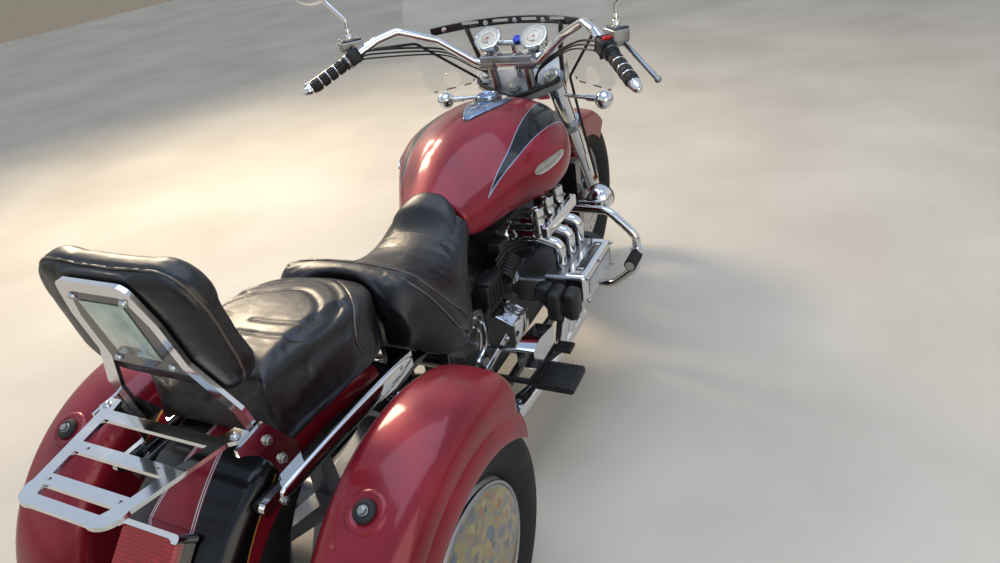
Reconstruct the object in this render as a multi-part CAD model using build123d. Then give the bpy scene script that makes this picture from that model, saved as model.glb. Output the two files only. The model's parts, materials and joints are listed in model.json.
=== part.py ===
from build123d import *
from math import asin, cos, pi, radians, sin, sqrt, tan
import os

os.makedirs("parts", exist_ok=True)

# Driving dimensions, mm. While shaping, the rear axle is at y 0; +Y is forward, +X right, +Z up.
WHEELBASE = 1689.0
RAKE = 32.3
TRAIL = 152.0
FRONT_R = 336.0
FRONT_HALF = 75.0
FRONT_RIM_R = 222.0
REAR_R = 329.0
REAR_HALF = 90.0
REAR_RIM_R = 211.0
GROUND_CLEARANCE = 155.0
STEER_LIMIT = 38.0

# Outrigger wheels beside the rear wheel.
OUT_X = 357.0
OUT_Y = -80.0
OUT_R = 315.0
OUT_HALF = 70.0
OUT_RIM_R = 198.0

# Fits, wall thicknesses and running room.
SEAT_GAP = 0.3
RUN_FIT = 0.05
SHEET = 3.0
MOVE_GAP = 6.0
PIVOT_BEHIND_TYRE = 191.0
RADIATOR_BEHIND_TYRE = 69.0

# Fork and steering head, as heights up the fork line from the front axle.
FORK_X = 115.0
SLIDER_R = 26.0
COVER_R = 30.0
SLIDER_TOP = 325.0
FORK_TOP = 722.0
STEM_R = 15.0
HEAD_R = 32.0
HEAD_LOW = 532.0
HEAD_HIGH = 678.0
LOWER_BRIDGE = (472.0, 502.0)
UPPER_BRIDGE = (690.0, 714.0)
AXLE_R = 9.0
REAR_AXLE_R = 10.0
STUB_R = 12.5
BAR_R = 12.7

# Frame tubes.
TUBE_R = 16.0
BACKBONE_R = 22.0
RAIL_R = 13.0
RAIL_X = 150.0
CRADLE_X = 130.0
PLATE_X = (130.0, 146.0)
PIVOT_R = 14.0
BRACKET_R = 9.0

# Rear fender arch: its centre lies behind and under the rear axle.
REAR_FENDER_Y = -91.0
REAR_FENDER_Z = 270.0
REAR_FENDER_R = REAR_R + 111.0
REAR_FENDER_HALF = 133.0

SIN_R = sin(radians(RAKE))
COS_R = cos(radians(RAKE))
FORK_OFFSET = (FRONT_R * tan(radians(RAKE)) - TRAIL) * COS_R
CENTRE_Y = (WHEELBASE + FRONT_R + REAR_FENDER_Y - REAR_FENDER_R) / 2
NOSE_Y = WHEELBASE - FRONT_R - RADIATOR_BEHIND_TYRE
PIVOT_Y = REAR_R + PIVOT_BEHIND_TYRE
PIVOT = (PIVOT_Y, 360.0)
SEAT_Z = REAR_FENDER_Z + REAR_FENDER_R


def fork(s, ahead=0.0, x=0.0):
    """A point s up the fork line from the front axle and ahead of that line."""
    return Vector(x, WHEELBASE - s * SIN_R + ahead * COS_R, FRONT_R + s * COS_R + ahead * SIN_R)


def fork_plane(s, ahead=0.0, x=0.0):
    """A plane across the fork line: its X is right, its normal points up the fork."""
    return Plane(origin=fork(s, ahead, x), x_dir=(1, 0, 0), z_dir=(0, -SIN_R, COS_R))


def stem_point(s, x=0.0):
    """A point s up the steering axis."""
    return fork(s, -FORK_OFFSET, x)


def cockpit(x, ahead, up):
    """A point given from the middle of the upper bridge's top face."""
    return fork(UPPER_BRIDGE[1]) + Vector(x, ahead, up)


def bar(a, b, radius):
    """A straight round bar from a to b."""
    a, b = Vector(*a), Vector(*b)
    return Solid.make_cylinder(radius, (b - a).length, Plane(origin=a, z_dir=b - a))


def rod(points, radius, bend):
    """A round bar along straight runs joined by tangent arcs."""
    path = FilletPolyline(*[Vector(*p) for p in points], radius=bend)
    return sweep(Plane(origin=path @ 0, z_dir=path % 0) * Circle(radius), path=path)


def block(x, y, z, edge=0.0, axis=None):
    """A box from three (low, high) pairs, its edges rounded all round or along one axis."""
    b = Pos(sum(x) / 2, sum(y) / 2, sum(z) / 2) * Box(x[1] - x[0], y[1] - y[0], z[1] - z[0])
    if edge:
        b = fillet(b.edges().filter_by(axis) if axis else b.edges(), edge)
    return b


def outline(start, *steps):
    """A closed face: each step is a corner (x, y), or an arc's end and a point on it (x, y, mx, my)."""
    edges = []
    at = start
    for step in steps:
        end = step[:2]
        edges.append(Line(at, end) if len(step) == 2 else ThreePointArc(at, step[2:], end))
        at = end
    if at != start:
        edges.append(Line(at, start))
    return make_face(edges)


def turned(face, centre=(0, 0, 0), angle=360.0, start=0.0):
    """Spins a face drawn in (x, r) about the X axis through centre; start 0 is up, + goes back."""
    return Pos(*centre) * (Rot(start, 0, 0) * revolve(Rot(90, 0, 0) * face, Axis.X, angle))


def side_shape(face, x):
    """A face drawn in (y, z), pressed out between two values of x."""
    return extrude(Plane.YZ.offset(min(x)) * face, abs(x[1] - x[0]))


def both(solid):
    """The solid with its mirror image at the left."""
    return [solid, mirror(solid, Plane.YZ)]


def joined(*pieces):
    """One shape out of several that touch or cross."""
    out = pieces[0]
    for p in pieces[1:]:
        out = out + p
    return out


def less(solid, *cutters):
    """The solid without the cutters."""
    for c in cutters:
        solid = solid - c
    return solid


def biggest(shape):
    """The largest solid of a shape that a cut has divided."""
    return max(shape.solids(), key=lambda s: s.volume)


def span(side, x):
    """A (low, high) pair of x at one side."""
    return tuple(sorted((side * x[0], side * x[1])))


def arched(half, top, drop, corner, crown_r):
    """A filled fender section in (x, r): upright sides and shoulders tangent to an arched top."""
    cx = half - corner
    cr = top - crown_r + sqrt((crown_r - corner) ** 2 - cx**2)
    lean = asin(cx / (crown_r - corner))
    mid = (lean + pi / 2) / 2
    tx, tr = cx + corner * sin(lean), cr + corner * cos(lean)
    mx, mr = cx + corner * sin(mid), cr + corner * cos(mid)
    return outline(
        (-half, drop),
        (-half, cr),
        (-tx, tr, -mx, mr),
        (tx, tr, 0, top),
        (half, cr, mx, mr),
        (half, drop),
    )


def fender_band(half, top, drop, corner, crown_r, wall):
    """The sheet of a fender's section, open below."""
    inside = arched(half - wall, top - wall, drop - 1, corner - wall, crown_r)
    return arched(half, top, drop, corner, crown_r) - inside


made = {}


def copy_of(s):
    """A free copy of a solid."""
    return Solid(s.wrapped)


def keep(name, *solids):
    """Moves the solids to the shared origin and files them under the node's name."""
    flat = []
    for s in solids:
        flat += list(s) if isinstance(s, (list, tuple)) else [s]
    found = []
    for s in flat:
        found += list(s.solids())
    made[name] = Pos(0, -CENTRE_Y, 0) * Compound(children=[copy_of(s) for s in found])


# Wheels: a closed tyre ring on a cast five-spoke rim, and discs at the front.
FRONT = (0.0, WHEELBASE, FRONT_R, FRONT_HALF, FRONT_RIM_R)
REAR = (0.0, 0.0, REAR_R, REAR_HALF, REAR_RIM_R)
SPOKES = 5
HUB_R = 38.0
BEAD = 0.62


def tyre(x, y, radius, half, rim_r):
    """A tyre ring: two beads, bowed side walls and a round tread."""
    bead = half * BEAD
    belly = (radius + rim_r) / 2 + 4
    shoulder = half * 0.84
    edge_r = radius - 0.24 * half
    ring = outline(
        (-bead, rim_r + SEAT_GAP),
        (-shoulder, edge_r, -half, belly),
        (shoulder, edge_r, 0, radius),
        (bead, rim_r + SEAT_GAP, half, belly),
    )
    return turned(ring, (x, y, radius))


def rim(x, y, radius, half, rim_r, bore, hub_half):
    """A cast wheel: bored hub, tapered spokes and a dropped-centre rim."""
    w = half * BEAD
    ring = outline(
        (-w, rim_r),
        (-w, rim_r - 12),
        (-w + 24, rim_r - 26),
        (w - 24, rim_r - 26),
        (w, rim_r - 12),
        (w, rim_r),
        (w - 6, rim_r),
        (w - 14, rim_r - 9),
        (-w + 14, rim_r - 9),
        (-w + 6, rim_r),
    )
    hub = outline(
        (-hub_half, 0),
        (-hub_half, HUB_R - 6),
        (-hub_half + 6, HUB_R),
        (hub_half - 6, HUB_R),
        (hub_half, HUB_R - 6),
        (hub_half, 0),
    )
    wheel = turned(ring) + turned(hub)
    arm = loft([Pos(0, 0, 30) * Rectangle(46, 44), Pos(0, 0, rim_r - 24) * Rectangle(34, 30)])
    for i in range(SPOKES):
        wheel = wheel + Rot(360 * i / SPOKES, 0, 0) * arm
    return Pos(x, y, radius) * (wheel - Rot(0, 90, 0) * Cylinder(bore, 400))


DISC_X = 70.0
DISC_R = 148.0
DISC_HOLES = 18
keep("front_tyre", tyre(*FRONT))
keep("front_rim", rim(*FRONT, AXLE_R + RUN_FIT, 64.0))
front_discs = []
for side in (1, -1):
    plate = Cylinder(DISC_R, 5) - Cylinder(96, 20)
    plate = plate - PolarLocations(122, DISC_HOLES) * Cylinder(5, 20)
    plate = Pos(side * DISC_X, WHEELBASE, FRONT_R) * Rot(0, 90, 0) * plate
    carrier = Pos(side * 67.7, WHEELBASE, FRONT_R) * Rot(0, 90, 0) * (Cylinder(97, 6.6) - Cylinder(12, 20))
    front_discs.append(plate + carrier)
keep("front_discs", front_discs)

keep("rear_tyre", tyre(*REAR))
keep("rear_rim", rim(*REAR, REAR_AXLE_R + RUN_FIT, 88.0))

# Outrigger wheels: a flat cover is pressed into the outer side of each rim.
COVER_IN = 58.0
COVER_OUT = 64.0
cover_face = outline(
    (COVER_IN, 0),
    (COVER_IN, OUT_RIM_R - 14),
    (OUT_HALF * BEAD + 0.2, OUT_RIM_R - 6),
    (OUT_HALF * BEAD + 0.2, OUT_RIM_R - 1),
    (OUT_HALF * BEAD + 4.4, OUT_RIM_R - 1),
    (COVER_OUT - 1, OUT_RIM_R - 14),
    (COVER_OUT, 0),
)
for name, side in (("right", 1), ("left", -1)):
    place = (side * OUT_X, OUT_Y, OUT_R, OUT_HALF, OUT_RIM_R)
    keep(f"outrigger_tyre_{name}", tyre(*place))
    cover = turned(cover_face)
    if side < 0:
        cover = mirror(cover, Plane.YZ)
    keep(f"outrigger_rim_{name}", rim(*place, STUB_R + RUN_FIT, 40.0), Pos(*place[:3]) * cover)

# Fork legs: a polished slider with an axle eye, under a chrome cover tube.
legs = []
for side in (1, -1):
    x = side * FORK_X
    slider = Solid.make_cylinder(SLIDER_R, SLIDER_TOP + 22, fork_plane(-22, 0, x))
    tube = Solid.make_cylinder(COVER_R, FORK_TOP - SLIDER_TOP, fork_plane(SLIDER_TOP, 0, x))
    eye = bar((x - 23, WHEELBASE, FRONT_R), (x + 23, WHEELBASE, FRONT_R), 31)
    leg = joined(slider, tube, eye)
    legs.append(leg - bar((x - 60, WHEELBASE, FRONT_R), (x + 60, WHEELBASE, FRONT_R), AXLE_R + SEAT_GAP))
keep("fork_legs", legs)

AXLE_END = FORK_X + SLIDER_R + 15
axle = bar((-AXLE_END, WHEELBASE, FRONT_R), (AXLE_END, WHEELBASE, FRONT_R), AXLE_R)
for side in (1, -1):
    axle = axle + bar((side * 71.3, WHEELBASE, FRONT_R), (side * 88.7, WHEELBASE, FRONT_R), 14)
    nut = side * (FORK_X + SLIDER_R + 0.5)
    axle = axle + bar((nut, WHEELBASE, FRONT_R), (nut + side * 11, WHEELBASE, FRONT_R), 15)
keep("front_axle", axle)


def bridge(s):
    """A triple-clamp plate between two heights on the fork, holed for both legs."""
    back = -FORK_OFFSET - 34
    wide = FORK_X + 37
    face = make_face(
        Polyline(
            (-wide, -26), (-wide, 26), (-60, 34), (60, 34), (wide, 26), (wide, -26), (45, back), (-45, back),
            close=True,
        )
    )
    plate = extrude(fork_plane(s[0]) * fillet(face.vertices(), 14), s[1] - s[0])
    for side in (1, -1):
        hole = Solid.make_cylinder(COVER_R + SEAT_GAP, 200, fork_plane(s[0] - 60, 0, side * FORK_X))
        plate = plate - hole
    return plate


stem_length = UPPER_BRIDGE[1] - LOWER_BRIDGE[0]
stem = Solid.make_cylinder(STEM_R, stem_length + 8, fork_plane(LOWER_BRIDGE[0], -FORK_OFFSET))
stem_nut = Solid.make_cylinder(20, 10, fork_plane(UPPER_BRIDGE[1], -FORK_OFFSET))
keep("triple_clamps", joined(bridge(LOWER_BRIDGE), bridge(UPPER_BRIDGE), stem, stem_nut))

# Handlebar: one bent tube, placed from the upper bridge.
BAR_POINTS = [
    # x, ahead, up
    (105, -72.5, 65.5),
    (215, -127.5, 155.5),
    (305, -207.5, 202.5),
    (350, -257.5, 188.5),
    (500, -427.5, 90.5),
]
bar_right = [cockpit(*p) for p in BAR_POINTS]
bar_left = [cockpit(-p[0], p[1], p[2]) for p in reversed(BAR_POINTS)]
keep("handlebar", rod(bar_left + bar_right, BAR_R, 40))

RISER_X = 62.0
CLAMP_X = 88.0
bar_mid = cockpit(0, BAR_POINTS[0][1], BAR_POINTS[0][2])
risers = []
for side in (1, -1):
    foot = fork(UPPER_BRIDGE[1] - 10, -55, side * RISER_X)
    risers.append(bar(foot, bar_mid + Vector(side * RISER_X, 0, 0), 15))
    saddle = (bar_mid + Vector(side * (RISER_X - 18), 0, 0), bar_mid + Vector(side * CLAMP_X, 0, 0))
    risers.append(bar(*saddle, 22))
cap = block(
    (-CLAMP_X, CLAMP_X), (bar_mid.Y - 22, bar_mid.Y + 22), (bar_mid.Z + 3, bar_mid.Z + 25), 6, Axis.X
)
clamp = joined(cap, *risers)
bar_bore = bar(bar_mid - Vector(150, 0, 0), bar_mid + Vector(150, 0, 0), BAR_R + SEAT_GAP)
bridge_depth = UPPER_BRIDGE[1] - UPPER_BRIDGE[0] + SEAT_GAP
bridge_top = extrude(fork_plane(UPPER_BRIDGE[0]) * Rectangle(400, 400), bridge_depth)
nut_room = Solid.make_cylinder(20 + SEAT_GAP, 40, fork_plane(UPPER_BRIDGE[1] - 2, -FORK_OFFSET))
keep("bar_clamps", biggest(less(clamp, bar_bore, bridge_top, nut_room)))

# Grips and hand controls, placed back along the bar from its tip.
GRIP_R = 17.5
GRIP_LENGTH = 132.0
grip_root = bar_right[3]
grip_tip = bar_right[4]
grip_dir = (grip_tip - grip_root).normalized()
fwd = Vector(-grip_dir.Y, grip_dir.X, 0).normalized()


def on_grip(d):
    """A point d back from the bar's right-hand tip toward the middle."""
    return grip_tip - grip_dir * d


sleeve = bar(on_grip(GRIP_LENGTH), on_grip(-3), GRIP_R) - bar(on_grip(140), on_grip(-0.3), BAR_R + SEAT_GAP)
bullet = Solid.make_cone(15.5, 8, 32, Plane(origin=on_grip(-3), z_dir=grip_dir))
keep("grips", both(joined(sleeve, bullet)))

CONTROL_AT = 172.0
LEVER_AHEAD = 52.0
lever_root = on_grip(CONTROL_AT) + fwd * LEVER_AHEAD
lever_end = on_grip(-6) + fwd * (LEVER_AHEAD + 12)
tank_plane = Plane(
    origin=on_grip(CONTROL_AT - 8) + fwd * 30 + Vector(0, 0, 27), x_dir=grip_dir, z_dir=(0, 0, 1)
)
control = joined(
    bar(on_grip(GRIP_LENGTH + 46), on_grip(GRIP_LENGTH + 1), 23),
    bar(on_grip(CONTROL_AT), lever_root, 11),
    bar(lever_root, lever_end, 6.5),
    Pos(*lever_end) * Sphere(9),
    fillet((tank_plane * Box(66, 46, 34)).edges(), 5),
)
control = control - bar(on_grip(260), on_grip(100), BAR_R + SEAT_GAP)
keep("hand_controls", both(control))

mirror_base = on_grip(CONTROL_AT - 8) + fwd * 30 + Vector(0, 0, 44 + SEAT_GAP)
stalk = rod([mirror_base, mirror_base + Vector(0, 0, 60), mirror_base + Vector(75, -20, 150)], 6, 25)
glass_plane = Plane(origin=mirror_base + Vector(80, -22, 160), z_dir=(0, -1, 0.08), x_dir=(1, 0, 0))
head = extrude(glass_plane * Ellipse(72, 46), 20)
keep("mirrors", both(joined(stalk, fillet(head.edges(), 8))))

# Two round gauges on a crossbar and a post.
GAUGE_DIR = Vector(0, -0.62, 0.785).normalized()
GAUGE_X = 80.0
GAUGE_R = 44.0
pods = []
for side in (1, -1):
    face = cockpit(side * GAUGE_X, -35.5, 134.5)
    pods.append(bar(face - GAUGE_DIR * 36, face - GAUGE_DIR * 8, GAUGE_R - 7))
    pods.append(bar(face - GAUGE_DIR * 12, face, GAUGE_R))
gauge_mid = cockpit(0, -35.5, 134.5) - GAUGE_DIR * 24
crossbar = bar(gauge_mid - Vector(60, 0, 0), gauge_mid + Vector(60, 0, 0), 10)
post = bar(gauge_mid, fork(UPPER_BRIDGE[1] - 6, 10), 11)
under = extrude(fork_plane(UPPER_BRIDGE[1] - 40) * Rectangle(400, 400), 40 + SEAT_GAP)
keep("gauges", joined(*pods, crossbar, post) - under)


def fork_covers(gap):
    """Both fork cover tubes, grown by a gap, to cut what sits against them."""
    return [Solid.make_cylinder(COVER_R + gap, 900, fork_plane(0, 0, side * FORK_X)) for side in (1, -1)]


# Headlamp: a spun shell on two ears from the fork covers.
LAMP_R = 96.0
lamp_mid = cockpit(0, 144.5, -34.5)
lamp_face = outline(
    (0, -62),
    (6, -62),
    (LAMP_R - 10, -2, 54, -44.5),
    (LAMP_R - 2, 24),
    (LAMP_R, 62),
    (LAMP_R - 6, 70),
    (6, 76, 48, 74.3),
    (0, 76),
)
lamp = Pos(*lamp_mid) * revolve(lamp_face, Axis.Y, 360)
ears = [
    bar(lamp_mid + Vector(side * 70, -12, -5), cockpit(side * FORK_X, 42.5, -59.5), 9) for side in (1, -1)
]
keep("headlamp", biggest(less(joined(lamp, *ears), *fork_covers(SEAT_GAP))))

# Windshield: a clear curved sheet with two round cut-outs in its lower lobes.
SCREEN_LEAN = 12.0
SCREEN_R = 600.0
SCREEN_T = 4.0
screen_foot = cockpit(0, 69.5, -39.5)
screen_up = Vector(0, -sin(radians(SCREEN_LEAN)), cos(radians(SCREEN_LEAN)))
screen_ahead = Vector(0, cos(radians(SCREEN_LEAN)), sin(radians(SCREEN_LEAN)))
SCREEN_HALF = 338.0
SCREEN_TOP = 450.0
HOLE_X = 251.0
HOLE_UP = 50.0
HOLE_R = 29.0


def screen_band(up, height, outside, wall):
    """A curved band across the screen's bend: how far outside its front face, and how thick."""
    plane = Plane(origin=screen_foot + screen_up * up, x_dir=(1, 0, 0), z_dir=screen_up)
    ring = Circle(SCREEN_R + outside) - Circle(SCREEN_R + outside - wall)
    return extrude(plane * (Pos(0, -SCREEN_R) * ring), height)


screen_outline = outline(
    (-150, 118),
    (150, 118),
    (182, 24),
    (318, 14),
    (SCREEN_HALF, 46),
    (SCREEN_HALF - 4, 210),
    (190, SCREEN_TOP, SCREEN_HALF - 36, 384),
    (-190, SCREEN_TOP),
    (4 - SCREEN_HALF, 210, 36 - SCREEN_HALF, 384),
    (-SCREEN_HALF, 46),
    (-318, 14),
    (-182, 24),
)
screen_outline = fillet([v for v in screen_outline.vertices() if v.Y < 130], 18)
screen_front = Plane(origin=screen_foot + screen_ahead * 40, x_dir=(1, 0, 0), z_dir=-screen_ahead)
screen_cut = extrude(screen_front * screen_outline, 260)
windshield = screen_band(-20, SCREEN_TOP + 40, 0, SCREEN_T) & screen_cut
for side in (1, -1):
    centre = screen_foot + screen_up * HOLE_UP + Vector(side * HOLE_X, 0, 0)
    windshield = windshield - bar(centre - screen_ahead * 200, centre + screen_ahead * 60, HOLE_R)
keep("windshield", biggest(windshield))

# Its bracket: a slotted strip bent to the screen, on two straps from the fork covers.
STRIP_UP = 212.0
STRIP_HALF = 275.0
strip = screen_band(STRIP_UP, 24, -SCREEN_T - SEAT_GAP, 5)
strip = strip & block((-STRIP_HALF, STRIP_HALF), (0, WHEELBASE), (0, 2000))
strip = max(strip.solids(), key=lambda s: s.center().Y)
for x in (-150, -50, 50, 150):
    slot = Pos(*(screen_foot + screen_up * (STRIP_UP + 12) + Vector(x, 0, 0))) * Rot(90, 0, 0)
    strip = strip - slot * extrude(SlotOverall(56, 9), 400, both=True)
straps = []
for side in (1, -1):
    low = fork(UPPER_BRIDGE[0] - 74, 24, side * (FORK_X + 12))
    high = screen_foot + screen_up * (STRIP_UP + 10) + screen_ahead * -36 + Vector(side * 165, 0, 0)
    straps.append(rod([low, cockpit(side * 146, 14, 70), high], 8, 30))
bracket = less(joined(strip, *straps), *fork_covers(SEAT_GAP))
keep("windshield_bracket", biggest(bracket))

signals = []
for side in (1, -1):
    arm = bar(cockpit(side * FORK_X, 42.5, -71.5), cockpit(side * 262, 4.5, -75.5), 7)
    collar = bar(cockpit(side * 225, 14, -74.5), cockpit(side * 262, 4.5, -75.5), 11)
    lamp_ball = Pos(*cockpit(side * 287, -7.5, -75.5)) * Sphere(29.5)
    signals.append(biggest(less(joined(arm, collar, lamp_ball), *fork_covers(SEAT_GAP))))
keep("turn_signals", signals)

# Front fender and its stays to the sliders.
fender_face = fender_band(81, FRONT_R + 28, FRONT_R - 74, 28, 320, SHEET)
front_fender = turned(fender_face, (0, WHEELBASE, FRONT_R), 135, -40)
for side in (1, -1):
    stay = bar(fork(300, 0, side * 79), fork(300, 0, side * (FORK_X - SLIDER_R - SEAT_GAP)), 9)
    front_fender = front_fender + stay
keep("front_fender", front_fender)

# Brake calipers straddle the discs behind the fork legs.
CALIPER_ANGLE = 62.0
CALIPER_R = 118.0
body = Pos(0, -CALIPER_R, 0) * block((52, 88), (-24, 24), (-44, 44), 6)
body = body - Pos(DISC_X, 0, 0) * Rot(0, 90, 0) * Cylinder(DISC_R + 8, 16)
arm = block((86, 108), (-CALIPER_R, -50), (-16, 16), 3)
caliper = Pos(0, WHEELBASE, FRONT_R) * (Rot(-CALIPER_ANGLE, 0, 0) * (body + arm))
leg_room = Solid.make_cylinder(SLIDER_R + SEAT_GAP, 500, fork_plane(-60, 0, FORK_X))
eye_room = bar((60, WHEELBASE, FRONT_R), (160, WHEELBASE, FRONT_R), 31 + SEAT_GAP)
keep("brake_calipers", both(biggest(less(caliper, leg_room, eye_room))))

# Brake and clutch hoses from the levers down the fork.
hose_start = on_grip(CONTROL_AT) + fwd * (LEVER_AHEAD + 10)
brake_hose = rod(
    [
        hose_start,
        cockpit(300, -117.5, 150.5),
        cockpit(165, 30, -9.5),
        fork(520, 10, 158),
        fork(200, -30, 158),
    ],
    4.5, 40,
)
clutch_hose = rod(
    [
        Vector(-hose_start.X, hose_start.Y, hose_start.Z),
        cockpit(-300, -117.5, 145.5),
        cockpit(-165, 30, -9.5),
        cockpit(-158, 112.5, -139.5),
    ],
    4.5, 40,
)
keep("control_hoses", biggest(brake_hose - control), biggest(clutch_hose - mirror(control, Plane.YZ)))

# Frame: backbone, two downtubes into cradle tubes, seat rails and pivot plates.
TUBE_BACK = 62.0


def backbone_rod(radius):
    """The main tube from the head down behind the engine."""
    points = [
        stem_point(640), (0, NOSE_Y - 134, 775), (0, PIVOT_Y + 120, 662), (0, PIVOT_Y + 20, 440),
    ]
    return rod(points, radius, 60)


def down_tube(side, radius):
    """A downtube, cradle tube and rear upright in one bend."""
    low = GROUND_CLEARANCE + TUBE_R
    return rod(
        [
            stem_point(556, side * 8),
            (side * 78, NOSE_Y - TUBE_BACK + 2, 705),
            (side * 108, NOSE_Y - TUBE_BACK, 260),
            (side * CRADLE_X, NOSE_Y - 134, low),
            (side * CRADLE_X, PIVOT_Y + 120, low),
            (side * 138, PIVOT_Y + 25, 240),
        ],
        radius, 45,
    )


def seat_rail(side, radius):
    """A rail from the backbone back beside the rear fender."""
    return rod(
        [
            (side * 20, PIVOT_Y + 120, 655),
            (side * 90, PIVOT_Y + 40, 600),
            (side * RAIL_X, PIVOT_Y - 80, 578),
            (side * RAIL_X, 110, 590),
            (side * RAIL_X, -60, 640),
            (side * RAIL_X, -290, 640),
        ],
        radius, 50,
    )


def seat_stay(side, radius):
    """A stay from the pivot plate up to the seat rail."""
    return bar((side * 138, PIVOT_Y - 20, 440), (side * RAIL_X, PIVOT_Y - 90, 577), radius)


STAND_PIN = (PIVOT_Y + 170, 138.0)
CROSS_Z = GROUND_CLEARANCE + TUBE_R
CROSS_R = 12.0
head_tube = Solid.make_cylinder(HEAD_R, HEAD_HIGH - HEAD_LOW, fork_plane(HEAD_LOW, -FORK_OFFSET))
tubes = [head_tube, backbone_rod(BACKBONE_R)]
for side in (1, -1):
    tubes.append(down_tube(side, TUBE_R))
    tubes.append(seat_rail(side, RAIL_R))
    tubes.append(block(span(side, PLATE_X), (PIVOT_Y - 52, PIVOT_Y + 55), (225, 470), 6, Axis.X))
    tubes.append(seat_stay(side, 11))
stand_lug = block((-152, -128), (STAND_PIN[0] - 25, STAND_PIN[0] + 25), (122, 178), 5, Axis.X)
tubes.append(stand_lug)
tubes.append(bar((-PLATE_X[0], PIVOT_Y, 425), (PLATE_X[0], PIVOT_Y, 425), 18))
tubes.append(bar((-CRADLE_X, PIVOT_Y + 140, CROSS_Z), (CRADLE_X, PIVOT_Y + 140, CROSS_Z), CROSS_R))
frame = joined(*tubes)
frame = frame - Solid.make_cylinder(STEM_R + RUN_FIT, 400, fork_plane(HEAD_LOW - 40, -FORK_OFFSET))
frame = frame - bar((-200, *PIVOT), (200, *PIVOT), PIVOT_R + SEAT_GAP)
keep("frame", frame + bar((-151, *STAND_PIN), (-180, *STAND_PIN), 6))

# Swingarm with the final-drive hub at the left, its pivot bolt and the rear axle.
ARM_X = (100.0, 126.0)
arms = [bar((SEAT_GAP - PLATE_X[0], *PIVOT), (PLATE_X[0] - SEAT_GAP, *PIVOT), 30)]
for side in (1, -1):
    arms.append(block(span(side, ARM_X), (-45, PIVOT_Y), (302, 366), 8, Axis.X))
    arms.append(bar((side * 120, 25, 348), (side * 142, 25, 348), 12))
hub = outline((-124, 0), (-124, 40), (-118, 62), (-102, 62), (-96, 48), (-96, 0))
arms.append(turned(hub, (0, 0, REAR_R)))
swingarm = less(
    joined(*arms),
    bar((-160, 0, REAR_R), (160, 0, REAR_R), REAR_AXLE_R + SEAT_GAP),
    bar((-160, *PIVOT), (160, *PIVOT), PIVOT_R + SEAT_GAP),
)
keep("swingarm", swingarm)
pivot_bolt = bar((-152, *PIVOT), (152, *PIVOT), PIVOT_R)
for side in (1, -1):
    pivot_bolt = pivot_bolt + bar((side * (PLATE_X[1] + SEAT_GAP), *PIVOT), (side * 158, *PIVOT), 22)
keep("swingarm_pivot", pivot_bolt)

rear_axle = bar((-150, 0, REAR_R), (150, 0, REAR_R), REAR_AXLE_R)
for side in (1, -1):
    rear_axle = rear_axle + bar((side * 126.3, 0, REAR_R), (side * 142, 0, REAR_R), 17)
    spacer = 95.7 if side < 0 else 99.7
    rear_axle = rear_axle + bar((side * 88.3, 0, REAR_R), (side * spacer, 0, REAR_R), 15)
keep("rear_axle", rear_axle)

SHOCK_X = 170.0
COILS = 9
low = Vector(SHOCK_X, 25, 348)
high = Vector(SHOCK_X + 10, 95, 588)
up = (high - low).normalized()
length = (high - low).length
coils = []
pitch = (length - 110) / COILS
for i in range(COILS):
    z = 52 + i * pitch
    coils += [(19, z - 5), (19, z + 5, 27, z)]
body = outline(
    (0, 0),
    (9, 0),
    (9, 20),
    (22, 20),
    (22, 44),
    *coils,
    (19, length - 62),
    (24, length - 62),
    (24, length - 14),
    (9, length - 14),
    (9, length),
    (0, length),
)
body = Plane(origin=low, x_dir=(0, 1, 0), z_dir=up) * revolve(Plane.XZ * body, Axis.Z, 360)
shock = joined(
    body,
    bar((142.3, low.Y, low.Z), (SHOCK_X + 12, low.Y, low.Z), 15),
    bar((RAIL_X + RAIL_R + SEAT_GAP, high.Y, high.Z), (SHOCK_X + 22, high.Y, high.Z), 15),
)
keep("rear_shocks", both(shock))

# Engine: a flat six. Crankcase, gearbox and air box are one block; banks bolt to its sides.
CASE_X = 104.0
CASE_Y = (PIVOT_Y + 90, NOSE_Y - 144)
CYL_PITCH = (CASE_Y[1] - CASE_Y[0]) * 0.151
CYL_Y = [CASE_Y[1] - 135 - i * CYL_PITCH for i in range(3)]
BARREL_R = 36.0
HEAD_X = (240.0, 300.0)
HEAD_Y = (CYL_Y[2] - 50, CYL_Y[0] + 50)
HEAD_Z = (368.0, 500.0)
case = block((-CASE_X, CASE_X), CASE_Y, (205, 540), 16)
gearbox = block((-96, 96), (PIVOT_Y + 55, CASE_Y[0] + 20), (215, 430), 14)
airbox = block((-112, 112), (CYL_Y[2] - 60, CYL_Y[0] + 60), (535, 640), 10)
sump_ribs = []
for i in range(6):
    y = CASE_Y[0] + 60 + i * 70
    sump_ribs.append(block((-80, 80), (y, y + 8), (197, 210)))
foot = block((-40, 40), (PIVOT_Y + 125, PIVOT_Y + 155), (CROSS_Z + CROSS_R + SEAT_GAP, 212))
engine = joined(case, gearbox, airbox, foot, *sump_ribs)
keep("engine_block", engine - bar((-150, *PIVOT), (150, *PIVOT), 31))

barrels = []
for y in CYL_Y:
    barrels.append(bar((CASE_X + SEAT_GAP, y, 434), (HEAD_X[0] + 4, y, 434), BARREL_R))
    barrels.append(bar((CASE_X + SEAT_GAP, y, 434), (CASE_X + 14, y, 434), BARREL_R + 2.5))
jacket = block((CASE_X + 34, HEAD_X[0] + 4), (HEAD_Y[0] + 10, HEAD_Y[1] - 10), (392, 476), 10, Axis.X)
head_block = block(HEAD_X, HEAD_Y, HEAD_Z, 12, Axis.X)
keep("cylinder_banks", both(joined(head_block, jacket, *barrels)))

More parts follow.
